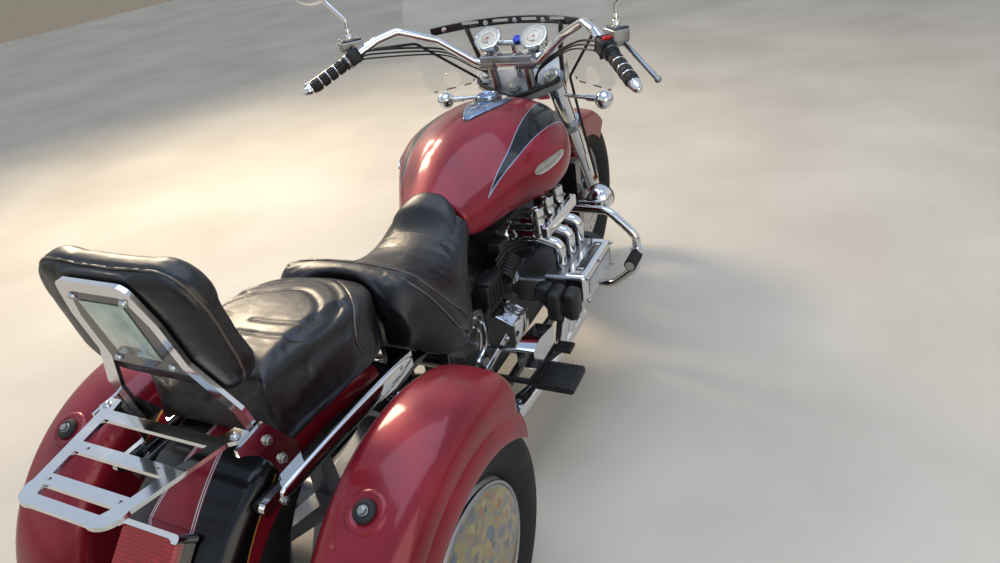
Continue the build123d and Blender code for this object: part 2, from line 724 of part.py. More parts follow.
COVER_X = 362.0
cover = block((HEAD_X[1] - 24, COVER_X), (HEAD_Y[0] + 6, HEAD_Y[1] - 2), (408, 503), 16)
cover = cover - block((HEAD_X[1] - 40, HEAD_X[1] + SEAT_GAP), (HEAD_Y[0] - 100, HEAD_Y[1] + 100), (300, 600))
inset = block((318, 346), (HEAD_Y[0] + 40, HEAD_Y[1] - 36), (500, 520), 6, Axis.Z)
keep("valve_covers", both(cover - inset))

# Black covers: belt housings in front of each bank and elbows behind it.
HOUSING_R = 74.0
housing = bar((270, HEAD_Y[1] + SEAT_GAP, 430), (270, HEAD_Y[1] + 30, 430), HOUSING_R)
arm = block((110, 270), (HEAD_Y[1] + 4, HEAD_Y[1] + 26), (372, 488), 6, Axis.Y)
ring = bar((270, HEAD_Y[1] + 28, 430), (270, HEAD_Y[1] + 36, 430), HOUSING_R - 16)
elbow = rod([(262, HEAD_Y[0] + 4, 440), (262, HEAD_Y[0] - 44, 440), (338, HEAD_Y[0] - 44, 440)], 30, 34)
elbow = elbow - block((200, 360), (HEAD_Y[0] - SEAT_GAP, HEAD_Y[0] + 90), (380, 500))
keep("engine_covers", both(joined(housing, arm, ring)), both(elbow))

RUNNER_R = 17.0
runners = []
for y in CYL_Y:
    path = [(112 + SEAT_GAP, y, 596), (205, y, 598), (272, y + 8, 572), (272, y + 8, HEAD_Z[1] + SEAT_GAP)]
    runners.append(rod(path, RUNNER_R, 24))
    runners.append(bar((218, y + 2, 600), (211, y + 8, 682), 19))
rail_bar = block((234, 254), (CYL_Y[2] - 25, CYL_Y[0] + 62), (604, 640), 5)
keep("intake_runners", both(joined(rail_bar, *runners)))

# Radiator: a finned core between two tanks.
RAD_Y = (NOSE_Y - 44, NOSE_Y)
RAD_Z = (432.0, 670.0)
tanks = [
    block(span(side, (150, 195)), (RAD_Y[0] + SEAT_GAP, RAD_Y[1]), RAD_Z, 8, Axis.Y) for side in (1, -1)
]
core = block((-152, 152), (RAD_Y[0] + 8, RAD_Y[1] - 10), (RAD_Z[0] + 8, RAD_Z[1] - 8))
fins = [block((-150, 150), (RAD_Y[1] - 11, RAD_Y[1] - 4), (RAD_Z[0] + 18 + i * 18, RAD_Z[0] + 21 + i * 18))
        for i in range(12)]
pads = [block(span(side, (74, 100)), (RAD_Y[0] - 0.2, RAD_Y[0] + 10), (565, 595)) for side in (1, -1)]
keep("radiator", joined(core, *tanks, *fins, *pads))

# Exhausts: three header pipes a side into a collector, a cone and a hollow muffler.
PIPE_X = 252.0
PIPE_Z = 228.0
MUFFLER_X = 215.0
MUFFLER_Z = 220.0
MUFFLER_R = 42.0
MUFFLER_Y = (-300.0, PIVOT_Y - 80)
pipes = [bar((PIPE_X, CYL_Y[0] + 20, PIPE_Z), (PIPE_X, CASE_Y[0] + 2, PIPE_Z), 24)]
for y in CYL_Y:
    pipes.append(bar((272, y, HEAD_Z[0] + 4), (PIPE_X + 2, y - 26, PIPE_Z + 2), 19))
cone = loft(
    [
        Plane(origin=(PIPE_X, CASE_Y[0] + 2, PIPE_Z), z_dir=(0, -1, 0)) * Circle(24),
        Plane(origin=(MUFFLER_X, MUFFLER_Y[1], MUFFLER_Z), z_dir=(0, -1, 0)) * Circle(MUFFLER_R),
    ]
)
muffler = bar((MUFFLER_X, MUFFLER_Y[1], MUFFLER_Z), (MUFFLER_X, MUFFLER_Y[0], MUFFLER_Z), MUFFLER_R)
tail_pipe = bar((MUFFLER_X, MUFFLER_Y[0], MUFFLER_Z), (MUFFLER_X, MUFFLER_Y[0] - 60, MUFFLER_Z), 33)
exhaust = less(
    joined(*pipes, cone, muffler, tail_pipe),
    bar((MUFFLER_X, MUFFLER_Y[0] - 65, MUFFLER_Z), (MUFFLER_X, MUFFLER_Y[0] + 100, MUFFLER_Z), 29),
    block((200, 320), (CASE_Y[0] + 60, CASE_Y[1] + 40), (HEAD_Z[0] - SEAT_GAP, 500)),
)
keep("exhausts", both(exhaust))


# Tank and seats are lofted through a few sections across the machine.
def section(y, half, mid, low, foot, top_x, top_z, high):
    """A closed outline at y: flat floor, bowed flanks, arched top."""
    edges = [
        Line((-foot, low), (foot, low)),
        ThreePointArc((foot, low), (half, mid), (top_x, top_z)),
        ThreePointArc((top_x, top_z), (0, high), (-top_x, top_z)),
        ThreePointArc((-top_x, top_z), (-half, mid), (-foot, low)),
    ]
    return Plane(origin=(0, y, 0), x_dir=(-1, 0, 0), z_dir=(0, 1, 0)) * make_face(edges)


TANK_Y = (PIVOT_Y + 110, NOSE_Y - 94)
TANK = [
    # along, half width, its height, floor, floor half, shoulder x, shoulder z, crown
    (1.0, 150, 830, 770, 120, 120, 886, 905),
    (0.857, 228, 810, 715, 156, 168, 890, 930),
    (0.661, 262, 785, 684, 190, 200, 874, 934),
    (0.411, 228, 775, 694, 178, 170, 858, 914),
    (0.161, 156, 750, 690, 136, 114, 812, 856),
    (0.0, 104, 738, 696, 92, 76, 778, 802),
]


def tank_body(grow):
    """The tank's outer form, grown by some mm."""
    cuts = []
    for f, half, mid, low, foot, top_x, top_z, high in TANK:
        y = TANK_Y[0] + f * (TANK_Y[1] - TANK_Y[0])
        flank = (half + grow, mid, low - grow, foot + grow)
        cuts.append(section(y, *flank, top_x + grow, top_z + grow, high + grow))
    return loft(cuts)


tank = tank_body(0)
tunnel = block((-34, 34), (TANK_Y[0] - 100, TANK_Y[1] + 100), (600, 800))
neck = bar((0, NOSE_Y + 16, 842), (0, NOSE_Y - 164, 770), 34)
tank = less(tank, tunnel, neck)
keep("fuel_tank", tank)

CONSOLE_Y = TANK_Y[1] - 92
console_face = outline(
    (-46, CONSOLE_Y),
    (0, CONSOLE_Y + 26, -30, CONSOLE_Y + 20),
    (46, CONSOLE_Y, 30, CONSOLE_Y + 20),
    (0, CONSOLE_Y - 163, 36, CONSOLE_Y - 90),
    (-46, CONSOLE_Y, -36, CONSOLE_Y - 90),
)
skin = tank_body(SEAT_GAP)
console = extrude(Pos(0, 0, 700) * console_face, 300)
console = biggest((console & tank_body(7)) - skin)
filler = bar((0, CONSOLE_Y - 40, 925), (0, CONSOLE_Y - 40, 952), 30) - skin
keep("filler_console", biggest(console + filler))

# Seats: the pillion is a rounded outline under an arched top; the rider seat wraps round its front.
PILLION_HALF = 165.0
PILLION_ROUND = 155.0
PILLION_Y = (-196.0, 220.0)
PILLION_Z = (SEAT_Z - 25, SEAT_Z + 128)
nose_y = PILLION_Y[1] - PILLION_ROUND
nose_x = PILLION_HALF - PILLION_ROUND


def pillion_plan(grow):
    """The pillion's outline from above, grown by some mm."""
    w = PILLION_HALF + grow
    r = PILLION_ROUND + grow
    b = r * sqrt(0.5)
    return outline(
        (-150 - grow, PILLION_Y[0] - grow),
        (-w, nose_y),
        (-nose_x, nose_y + r, -nose_x - b, nose_y + b),
        (nose_x, nose_y + r),
        (w, nose_y, nose_x + b, nose_y + b),
        (150 + grow, PILLION_Y[0] - grow),
    )


pillion_side = outline(
    (PILLION_Y[0] - 10, PILLION_Z[0]),
    (PILLION_Y[1] + 10, PILLION_Z[0]),
    (PILLION_Y[1] + 10, SEAT_Z + 84),
    (PILLION_Y[0] - 10, PILLION_Z[1], nose_y, SEAT_Z + 122),
)
pillion = extrude(Pos(0, 0, PILLION_Z[0] - 10) * pillion_plan(0), 200) & side_shape(pillion_side, (-200, 200))
rim_edges = pillion.faces().sort_by(Axis.Z)[-1].edges()
pillion = fillet(rim_edges, 26)
fender_room = bar(
    (-REAR_FENDER_HALF - SEAT_GAP, REAR_FENDER_Y, REAR_FENDER_Z),
    (REAR_FENDER_HALF + SEAT_GAP, REAR_FENDER_Y, REAR_FENDER_Z),
    REAR_FENDER_R + SEAT_GAP,
)
rail_room = [seat_rail(1, RAIL_R + SEAT_GAP), seat_rail(-1, RAIL_R + SEAT_GAP)]
keep("pillion_seat", biggest(less(pillion, fender_room, *rail_room)))

RIDER = [
    # ahead of the swingarm pivot, half width, its height, floor, floor half, rim x, rim z, crown
    (154, 92, 30, -6, 80, 60, 64, 74),
    (40, 138, -20, -70, 120, 92, 25, 36),
    (-90, 202, -60, -154, 185, 138, -6, 14),
    (-185, 230, -30, -168, 206, 168, 38, 54),
    (-262, 208, 35, -130, 188, 168, 86, 96),
    (-340, 176, 20, -60, 168, 140, 40, 48),
]


def rider_form(grow):
    """The rider seat's outer form, grown by some mm."""
    cuts = []
    for y, half, mid, low, foot, top_x, top_z, high in RIDER:
        flank = (half + grow, SEAT_Z + mid, SEAT_Z + low - grow, foot + grow)
        cuts.append(section(PIVOT_Y + y, *flank, top_x + grow, SEAT_Z + top_z + grow, SEAT_Z + high + grow))
    return loft(cuts)


pillion_room = extrude(Pos(0, 0, 500) * pillion_plan(SEAT_GAP), 500)
rider_room = [pillion_room, fender_room, backbone_rod(BACKBONE_R + SEAT_GAP), tank_body(SEAT_GAP), *rail_room]
rider_room += [seat_stay(1, 11 + SEAT_GAP), seat_stay(-1, 11 + SEAT_GAP)]
rider = less(rider_form(0), *rider_room)
keep("rider_seat", biggest(rider))

side_face = outline((0, 0), (0, 150), (60, 158, 28, 158), (200, 128, 140, 152), (200, 30), (150, 0, 190, 6))
SIDE_COVER_T = 24.0
rail_side = RAIL_X + RAIL_R
side_cover = side_shape(Pos(PIVOT_Y - 220, 430) * side_face, (rail_side + SEAT_GAP, rail_side + SIDE_COVER_T))
side_cover = fillet(side_cover.faces().sort_by(Axis.X)[-1].edges(), 7)
keep("side_covers", both(biggest(side_cover - rider_form(SEAT_GAP))))

# Rear fender with its lamp, bezel and the chrome brow over the lens.
band = fender_band(REAR_FENDER_HALF, REAR_FENDER_R, REAR_FENDER_R - 95, 34, 520, SHEET)
keep("rear_fender", turned(band, (0, REAR_FENDER_Y, REAR_FENDER_Z), 120, -30))

LAMP_ANGLE = 44.0
LENS = (124.0, 92.0)
lamp_plane = Plane(
    origin=(
        0,
        REAR_FENDER_Y - REAR_FENDER_R * sin(radians(LAMP_ANGLE)),
        REAR_FENDER_Z + REAR_FENDER_R * cos(radians(LAMP_ANGLE)),
    ),
    x_dir=(1, 0, 0),
    z_dir=(0, -sin(radians(LAMP_ANGLE)), cos(radians(LAMP_ANGLE))),
)
skin_ends = [(x, REAR_FENDER_Y, REAR_FENDER_Z) for x in (-200, 200)]
fender_skin = bar(*skin_ends, REAR_FENDER_R + SEAT_GAP)
lens = lamp_plane * fillet((Pos(0, 0, 14) * Box(LENS[0], LENS[1], 44)).edges().filter_by(Axis.Z), 12)
keep("tail_lamp", less(lens, fender_skin))
window = RectangleRounded(LENS[0] + 2 * SEAT_GAP, LENS[1] + 2 * SEAT_GAP, 12 + SEAT_GAP)
bezel = extrude(lamp_plane * (RectangleRounded(LENS[0] + 18, LENS[1] + 18, 20) - window), 26)
brow = Pos(0, LENS[1] / 2 + 2, 0) * RectangleRounded(LENS[0] + 24, 16, 7)
brow = extrude(lamp_plane * brow, 44)
lens_room = extrude(lamp_plane * window, 60, both=True)
keep("lamp_bezel", biggest(less(bezel + brow, fender_skin, lens_room)))

# Backrest: a flat-bar hoop, a backing plate inside it and the pad on its front.
BACK_LEAN = 12.0
HOOP_T = 8.0
back_plane = Plane(
    origin=(0, -228, SEAT_Z - 10),
    x_dir=(-1, 0, 0),
    z_dir=(0, cos(radians(BACK_LEAN)), sin(radians(BACK_LEAN))),
)


def hoop_face(points, radius):
    """A filled hoop outline from its right-hand points, the top corners rounded."""
    left = [(-x, v) for x, v in reversed(points)]
    face = make_face(Polyline(*points, *left, close=True))
    return fillet(face.vertices().group_by(Axis.Y)[-1], radius)


hoop_out = hoop_face([(163, 30), (157, 132), (102, 225), (97, 310), (76, 384)], 26)
hoop_in = hoop_face([(137, 29), (132, 118), (82, 213), (77, 305), (58, 362)], 14)
keep("sissy_bar", extrude(back_plane * (hoop_out - hoop_in), HOOP_T))
backing = hoop_in & (Pos(0, 290) * Rectangle(300, 180))
keep("backrest_plate", extrude(back_plane * backing, HOOP_T - 3))
PAD = (183.0, 140.0, 404.0, 70.0)
pad_face = Pos(0, (PAD[1] + PAD[2]) / 2) * RectangleRounded(2 * PAD[0], PAD[2] - PAD[1], 78)
pad = extrude(back_plane.offset(HOOP_T + SEAT_GAP) * pad_face, PAD[3])
rims = [f for f in pad.faces() if abs(f.normal_at().dot(back_plane.z_dir)) > 0.99]
pad = fillet([e for f in rims for e in f.edges()], 27)
keep("backrest_pad", pad)

# Rack: one flat plate with three windows, drilled for a case.
RACK_Z = (SEAT_Z + 76, SEAT_Z + 84)
rack_face = outline(
    (-163, -262),
    (-163, -286),
    (-149, -296),
    (-108, -453),
    (-62, -494, -98, -486),
    (62, -494),
    (108, -453, 98, -486),
    (149, -296),
    (163, -286),
    (163, -262),
    (134, -262),
    (124, -289),
    (-124, -289),
    (-134, -262),
)
WINDOWS = [
    # front y, rear y, front half width, rear half width
    (-311, -364, 120, 106),
    (-386, -434, 100, 88),
    (-456, -474, 80, 70),
]
for y0, y1, w0, w1 in WINDOWS:
    rack_face = rack_face - make_face(Polyline((-w0, y0), (w0, y0), (w1, y1), (-w1, y1), close=True))
rack = extrude(Pos(0, 0, RACK_Z[0]) * rack_face, RACK_Z[1] - RACK_Z[0])
RACK_HOLE_X = 80.0
RACK_HOLE_Y = (-375.0, -445.0)
for x in (-RACK_HOLE_X, RACK_HOLE_X):
    for y in RACK_HOLE_Y:
        rack = rack - bar((x, y, RACK_Z[0] - 10), (x, y, RACK_Z[1] + 10), 3.3)
keep("luggage_rack", rack)

# Side plates carry hoop and rack; a tapered chrome strut runs forward along the fender.
PLATE_IN = RAIL_X + RAIL_R + SEAT_GAP
plate_face = outline(
    (-300, SEAT_Z + 62),
    (-300, SEAT_Z + 76),
    (-236, SEAT_Z + 82),
    (-183, SEAT_Z - 5),
    (-186, SEAT_Z - 72),
    (-248, SEAT_Z - 72),
    (-300, SEAT_Z + 62, -256, SEAT_Z + 20),
)
strut_face = outline(
    (172, 616),
    (175, 652),
    (-60, 668, 60, 664),
    (-290, 668),
    (-290, 642, -306, 655),
    (-60, 636),
    (95, 610),
)
strut = side_shape(strut_face, (PLATE_IN + 6.7, PLATE_IN + 18.7))
keep("fender_struts", both(side_shape(plate_face, (PLATE_IN, PLATE_IN + 7)) + strut))

# Engine guards with footpegs, driving lamps, foot controls and passenger pegs.
GUARD_Y = NOSE_Y - 84
guard = rod(
    [
        (116, NOSE_Y - 62, 520), (310, GUARD_Y + 10, 520), (402, GUARD_Y, 440), (402, GUARD_Y, 325),
        (310, GUARD_Y + 10, 240), (110, NOSE_Y - 62, 240),
    ],
    14, 60,
)
peg_clamp = bar((402, GUARD_Y, 350), (402, GUARD_Y, 402), 21)
guard_peg = bar((402, GUARD_Y, 376), (402, GUARD_Y - 92, 376), 15)
guard = biggest(joined(guard, peg_clamp, guard_peg) - down_tube(1, TUBE_R + SEAT_GAP))
keep("engine_guards", both(guard))

pod_face = outline((0, -36), (5, -36), (44, -14, 26, -29.5), (48, 20), (44, 26), (5, 30, 25, 28.8), (0, 30))
pod = Pos(246, NOSE_Y + 16, 517) * revolve(pod_face, Axis.Y, 360)
tab = block((195 + SEAT_GAP, 250), (NOSE_Y - 26, NOSE_Y - 14), (507, 527), 3, Axis.X)
keep("driving_lamps", both(joined(pod, tab)))

PEG_Y = PIVOT_Y + 46
peg_arm = bar((PLATE_X[1] + SEAT_GAP, PEG_Y, 288), (300, PEG_Y, 288), 9)
peg_pad = block((284, 400), (PEG_Y - 31, PEG_Y + 79), (289, 314), 8)
pedal_arm = rod([(262, PEG_Y, 288), (275, PEG_Y + 74, 300), (308, PEG_Y + 164, 302)], 7, 20)
pedal_pad = block((284, 334), (PEG_Y + 136, PEG_Y + 182), (298, 312), 4)
keep("foot_controls", both(joined(peg_arm, peg_pad, pedal_arm, pedal_pad)))

guard_face = outline((-20, 385), (-24, 446), (40, 455, 6, 455), (120, 440), (116, 392))
heel = side_shape(Pos(PIVOT_Y, 0) * guard_face, (268, 318))
heel = fillet(heel.edges().filter_by(Axis.X), 6)
heel_bolt = bar((PLATE_X[1] + SEAT_GAP, PIVOT_Y + 20, 410), (270, PIVOT_Y + 20, 410), BRACKET_R)
keep("heel_guards", both(joined(heel, heel_bolt)))

pass_arm = rod([(138, PIVOT_Y - 35, 400), (262, 400, 400), (262, 350, 392)], 9, 22)
pass_arm = pass_arm - block((100, PLATE_X[1] + SEAT_GAP), (PIVOT_Y - 120, PIVOT_Y + 80), (300, 500))
pass_peg = bar((250, 345, 391), (348, 335, 392), 15)
keep("passenger_pegs", both(joined(pass_arm, pass_peg)))

# Outrigger carrier: a bent tube behind the rear wheel, stub axles and fender posts.
CARRIER_X = 225.0
CARRIER_R = 18.0
CARRIER_Z = OUT_R + 7
CARRIER_END = -380.0
FENDER_HALF = 97.0
FENDER_R = OUT_R + 95
FENDER_Y = OUT_Y + 20
carrier = rod(
    [
        (130, PIVOT_Y + 36, OUT_R + 1), (CARRIER_X, PIVOT_Y - 90, CARRIER_Z),
        (CARRIER_X, CARRIER_END, CARRIER_Z), (-CARRIER_X, CARRIER_END, CARRIER_Z),
        (-CARRIER_X, PIVOT_Y - 90, CARRIER_Z), (-130, PIVOT_Y + 36, OUT_R + 1),
    ],
    CARRIER_R, 60,
)
plate_room = PLATE_X[1] + SEAT_GAP
carrier = carrier - block((-plate_room, plate_room), (PIVOT_Y - 90, PIVOT_Y + 180), (OUT_R - 65, OUT_R + 85))
POSTS = [
    # y, height
    (70, 600),
    (-230, 560),
]
for side in (1, -1):
    hub_in = side * (OUT_X - 46)
    carrier = carrier + bar((side * (CARRIER_X - 6), OUT_Y, OUT_R), (hub_in, OUT_Y, OUT_R), 20)
    carrier = carrier + bar((hub_in - side * 14, OUT_Y, OUT_R), (side * (OUT_X + 48), OUT_Y, OUT_R), STUB_R)
    for y, z in POSTS:
        carrier = carrier + bar((side * CARRIER_X, y, CARRIER_Z), (side * CARRIER_X, y, z), 9)
        inner = side * (OUT_X - FENDER_HALF - SEAT_GAP)
        carrier = carrier + bar((side * CARRIER_X, y, z - 12), (inner, y, z - 12), 8)
keep("outrigger_carrier", carrier)

# Outrigger fenders: domed shells, walled at the front, open below and round the wheel's outer side.
FRONT_WALL_Y = 134.0
FENDER_CORNER = 55.0
FENDER_CROWN = 270.0
ARCH_R = OUT_R - 28
LIP_R = ARCH_R + 48


def dome(grow):
    """The fender's outer form, drawn in by some mm."""
    half = FENDER_HALF - grow
    face = arched(half, FENDER_R - grow, 40 - grow, FENDER_CORNER - grow, FENDER_CROWN)
    body = turned(face, (OUT_X, FENDER_Y, OUT_R), 192, -90)
    body = body & block((0, 600), (-900, FRONT_WALL_Y - grow), (0, 900))
    front = body.faces().filter_by(Axis.Y).sort_by(Axis.Y)[-1]
    nose = [e for e in front.edges() if e.center().Z > OUT_R + 200]
    return fillet(nose, 34 - grow)


shell = dome(0) - dome(SHEET)
shell = shell - bar((OUT_X, OUT_Y, OUT_R), (OUT_X + 200, OUT_Y, OUT_R), ARCH_R)
shell = shell - bar((OUT_X - 200, OUT_Y, OUT_R), (OUT_X, OUT_Y, OUT_R), OUT_R - 60)
shell = shell - bar((OUT_X - OUT_HALF - 8, OUT_Y, OUT_R), (OUT_X + OUT_HALF + 8, OUT_Y, OUT_R), OUT_R + 12)
lip_face = outline(
    (FENDER_HALF - 1, ARCH_R),
    (FENDER_HALF + 8, ARCH_R),
    (FENDER_HALF - 1, LIP_R, FENDER_HALF + 6, LIP_R - 16),
)
lip = turned(lip_face, (OUT_X, OUT_Y, OUT_R), 186, -86)
lip = lip & block((0, 700), (-900, FRONT_WALL_Y - 10), (0, 900))
keep("outrigger_fenders", both(biggest(shell + lip)))

# Side stand, folded back along the left cradle tube.
STAND_R = 8.5
STAND_LENGTH = 112.0
eye = bar((-152.6, *STAND_PIN), (-178, *STAND_PIN), 13)
leg = bar((-165.3, *STAND_PIN), (-165.3, STAND_PIN[0] - STAND_LENGTH, STAND_PIN[1]), STAND_R)
foot_y = STAND_PIN[0] - STAND_LENGTH
foot = block((-185, -150), (foot_y - 10, foot_y + 4), (120, 156), 5, Axis.Y)
keep("side_stand", joined(eye, leg, foot) - bar((-140, *STAND_PIN), (-190, *STAND_PIN), 6 + RUN_FIT))

for name, shape in made.items():
    export_step(shape, f"parts/{name}.step")
print(len(made), "nodes")
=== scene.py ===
import json
from math import atan2, cos, pi, radians, sin, sqrt

import bmesh
import bpy
from mathutils import Matrix, Vector
from mathutils.bvhtree import BVHTree
from mathutils.kdtree import KDTree

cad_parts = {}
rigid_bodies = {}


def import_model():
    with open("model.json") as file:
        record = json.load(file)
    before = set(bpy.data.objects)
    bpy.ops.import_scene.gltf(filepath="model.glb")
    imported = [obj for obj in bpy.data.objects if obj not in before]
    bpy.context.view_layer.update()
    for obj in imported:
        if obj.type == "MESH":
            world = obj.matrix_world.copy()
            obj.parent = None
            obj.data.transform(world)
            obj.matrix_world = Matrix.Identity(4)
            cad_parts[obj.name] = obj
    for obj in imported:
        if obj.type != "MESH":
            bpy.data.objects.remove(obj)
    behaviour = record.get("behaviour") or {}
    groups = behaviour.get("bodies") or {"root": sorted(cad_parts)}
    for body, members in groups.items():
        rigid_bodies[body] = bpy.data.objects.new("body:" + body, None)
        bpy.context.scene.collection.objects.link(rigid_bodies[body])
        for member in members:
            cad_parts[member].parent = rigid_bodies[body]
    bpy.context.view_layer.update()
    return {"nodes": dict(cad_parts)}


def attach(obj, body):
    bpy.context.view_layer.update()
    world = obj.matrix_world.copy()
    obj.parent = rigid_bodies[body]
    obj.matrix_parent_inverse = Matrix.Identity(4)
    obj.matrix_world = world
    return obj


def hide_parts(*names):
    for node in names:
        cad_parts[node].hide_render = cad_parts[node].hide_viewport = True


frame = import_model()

# Camera, floor and light. A phone is held at standing height behind the machine's right side and
# turned a little clockwise. The floor is one pale sheet, and the light is a low warm sun from the
# front left, a cool open sky overhead and a soft fill from behind.
LENS_MM = 25.762
EYE = Vector((0.9815, -1.6148, 1.5086))
VIEW_RIGHT = Vector((0.905574, 0.40448, -0.127797))
VIEW_UP = Vector((-0.097734, 0.492121, 0.865023))
camera = bpy.data.objects.new("camera", bpy.data.cameras.new("camera"))
bpy.context.collection.objects.link(camera)
camera.data.sensor_width = 36
camera.data.lens = LENS_MM
view_back = VIEW_RIGHT.cross(VIEW_UP).normalized()
axes = Matrix((VIEW_RIGHT, view_back.cross(VIEW_RIGHT).normalized(), view_back)).transposed()
camera.matrix_world = Matrix.Translation(EYE) @ axes.to_4x4()
bpy.context.scene.camera = camera
bpy.context.scene.view_settings.view_transform = "Standard"


def linear(code):
    """An sRGB hex colour as linear red, green, blue and alpha."""
    parts = [int(code[i : i + 2], 16) / 255 for i in (1, 3, 5)]
    return tuple(p / 12.92 if p <= 0.04045 else ((p + 0.055) / 1.055) ** 2.4 for p in parts) + (1.0,)


def add(tree, kind, inputs=None, stops=(), **settings):
    """Adds one node with its settings: a socket, or a node's first one, is linked; stops fill a ramp."""
    made = tree.nodes.new("ShaderNode" + kind)
    for name, value in settings.items():
        setattr(made, name, value)
    for name, value in (inputs or {}).items():
        if isinstance(value, bpy.types.Node):
            value = value.outputs[0]
        if isinstance(value, bpy.types.NodeSocket):
            tree.links.new(value, made.inputs[name])
        else:
            made.inputs[name].default_value = value
    for i, (position, code) in enumerate(stops):
        elements = made.color_ramp.elements
        element = elements[i] if i < 2 else elements.new(position)
        element.position, element.color = position, linear(code)
    return made


def material(name, colour, roughness, metallic=0.0, **sockets):
    """A finish on one shader: its base values, and any other sockets by name."""
    made = bpy.data.materials.new(name)
    made.use_nodes = True
    shader = made.node_tree.nodes["Principled BSDF"]
    shader.inputs["Base Color"].default_value = linear(colour)
    shader.inputs["Roughness"].default_value = roughness
    shader.inputs["Metallic"].default_value = metallic
    for key, value in sockets.items():
        shader.inputs[key.replace("_", " ")].default_value = value
    return made, made.node_tree, shader


def worn(tree, shader, grain_mm, height_mm, rough, patch_mm=90.0, tones=()):
    """Grain of a real size as bump, and handling wear as slow changes of roughness and of tone."""
    place = add(tree, "TexCoord").outputs["Object"]
    grain = add(tree, "TexNoise", {"Vector": place, "Scale": 1000 / grain_mm, "Detail": 3.0})
    patches = add(tree, "TexNoise", {"Vector": place, "Scale": 1000 / patch_mm, "Detail": 4.0})
    limits = {"From Min": 0.3, "From Max": 0.7, "To Min": rough[0], "To Max": rough[1]}
    change = add(tree, "MapRange", {"Value": patches, **limits})
    tree.links.new(change.outputs[0], shader.inputs["Roughness"])
    bump = add(tree, "Bump", {"Height": grain, "Strength": 0.6, "Distance": height_mm / 1000})
    tree.links.new(bump.outputs[0], shader.inputs["Normal"])
    if tones:
        ramp = add(tree, "ValToRGB", {"Fac": patches}, stops=tones)
        tree.links.new(ramp.outputs[0], shader.inputs["Base Color"])
    return place, patches.outputs[0], bump


def plain_finish(name, colour, roughness, metallic, wear, tones=(), **sockets):
    """A finish that has grain, wear and tones but no pattern of its own."""
    made, tree, shader = material(name, colour, roughness, metallic, **sockets)
    worn(tree, shader, *wear, tones=tones)
    return made


floor_mesh = bpy.data.meshes.new("floor")
bm = bmesh.new()
bmesh.ops.create_grid(bm, x_segments=1, y_segments=1, size=14)
bm.to_mesh(floor_mesh)
bm.free()
floor = bpy.data.objects.new("floor", floor_mesh)
bpy.context.collection.objects.link(floor)
# Sealed concrete, trowelled: pale and matt, with slow clouds of tone.
CLOUDS = [(0.3, "#BDB7AC"), (0.7, "#D2CDC3")]
concrete = plain_finish("sealed_pale_concrete", "#C9C4BA", 0.85, 0.0, (6, 0.3, (0.8, 0.95), 900), CLOUDS)
floor.data.materials.append(concrete)

world = bpy.data.worlds.new("studio")
bpy.context.scene.world = world
world.use_nodes = True
tree = world.node_tree
tree.nodes.clear()
rays = add(tree, "LightPath")
seen = add(
    tree, "Math", {0: rays.outputs["Is Camera Ray"], 1: rays.outputs["Is Glossy Ray"]}, operation="MAXIMUM"
)
seen = add(tree, "Math", {0: seen, 1: rays.outputs["Is Transmission Ray"]}, operation="MAXIMUM")
heading = add(tree, "SeparateXYZ", {"Vector": add(tree, "TexCoord").outputs["Generated"]})
SKY = [(0.0, "#8D867B"), (0.1, "#E6DDCB"), (0.3, "#DFE5EC"), (1.0, "#9DB9E0")]
sky = add(tree, "ValToRGB", {"Fac": heading.outputs["Z"]}, stops=SKY)
room = add(tree, "Background", {"Color": linear("#E4E9F0"), "Strength": 0.6})
pale = add(tree, "Background", {"Color": sky, "Strength": 0.95})
mixed = add(tree, "MixShader", {0: seen, 1: room, 2: pale})
add(tree, "OutputWorld", {"Surface": mixed})

LAMPS = [
    # name, place, target, watts, size, colour
    ("low_sun", (-3.6, 1.9, 3.2), (0, 0.1, 0.6), 200, 1.3, "#FFE8C6"),
    ("open_sky", (0.3, -0.2, 4.4), (0, 0.0, 0.5), 105, 3.8, "#D3E0F6"),
    ("fill", (2.6, -2.2, 1.6), (0, 0.0, 0.5), 26, 2.2, "#F3E6D2"),
]
for name, spot, target, watts, size, colour in LAMPS:
    lamp = bpy.data.objects.new(name, bpy.data.lights.new(name, "AREA"))
    bpy.context.collection.objects.link(lamp)
    lamp.data.energy = watts
    lamp.data.size = size
    lamp.data.color = linear(colour)[:3]
    lamp.location = spot
    lamp.rotation_euler = (Vector(target) - Vector(spot)).to_track_quat("-Z", "Y").to_euler()

# Tyres. Each is a moulded black rubber ring with a round tread: grooves run round it and slanted
# sipes cross its shoulders. All four ride their own wheels.
AXLE_Y = -0.747
# Hubs, in millimetres across, ahead of the rear axle and up.
FRONT_HUB, REAR_HUB, OUTRIGGER_HUB = (0, 1689, 336), (0, 0, 329), (357, -80, 315)
GROOVE_MM, GROOVE_DEEP_MM = 5.2, 5.0
SIPES, SIPE_SHARE, SIPE_DEEP_MM = 46, 0.16, 4


def at(x, ahead, z):
    """A point in millimetres, measured from the rear axle, as metres in the shared frame."""
    return Vector((x / 1000, AXLE_Y + ahead / 1000, z / 1000))


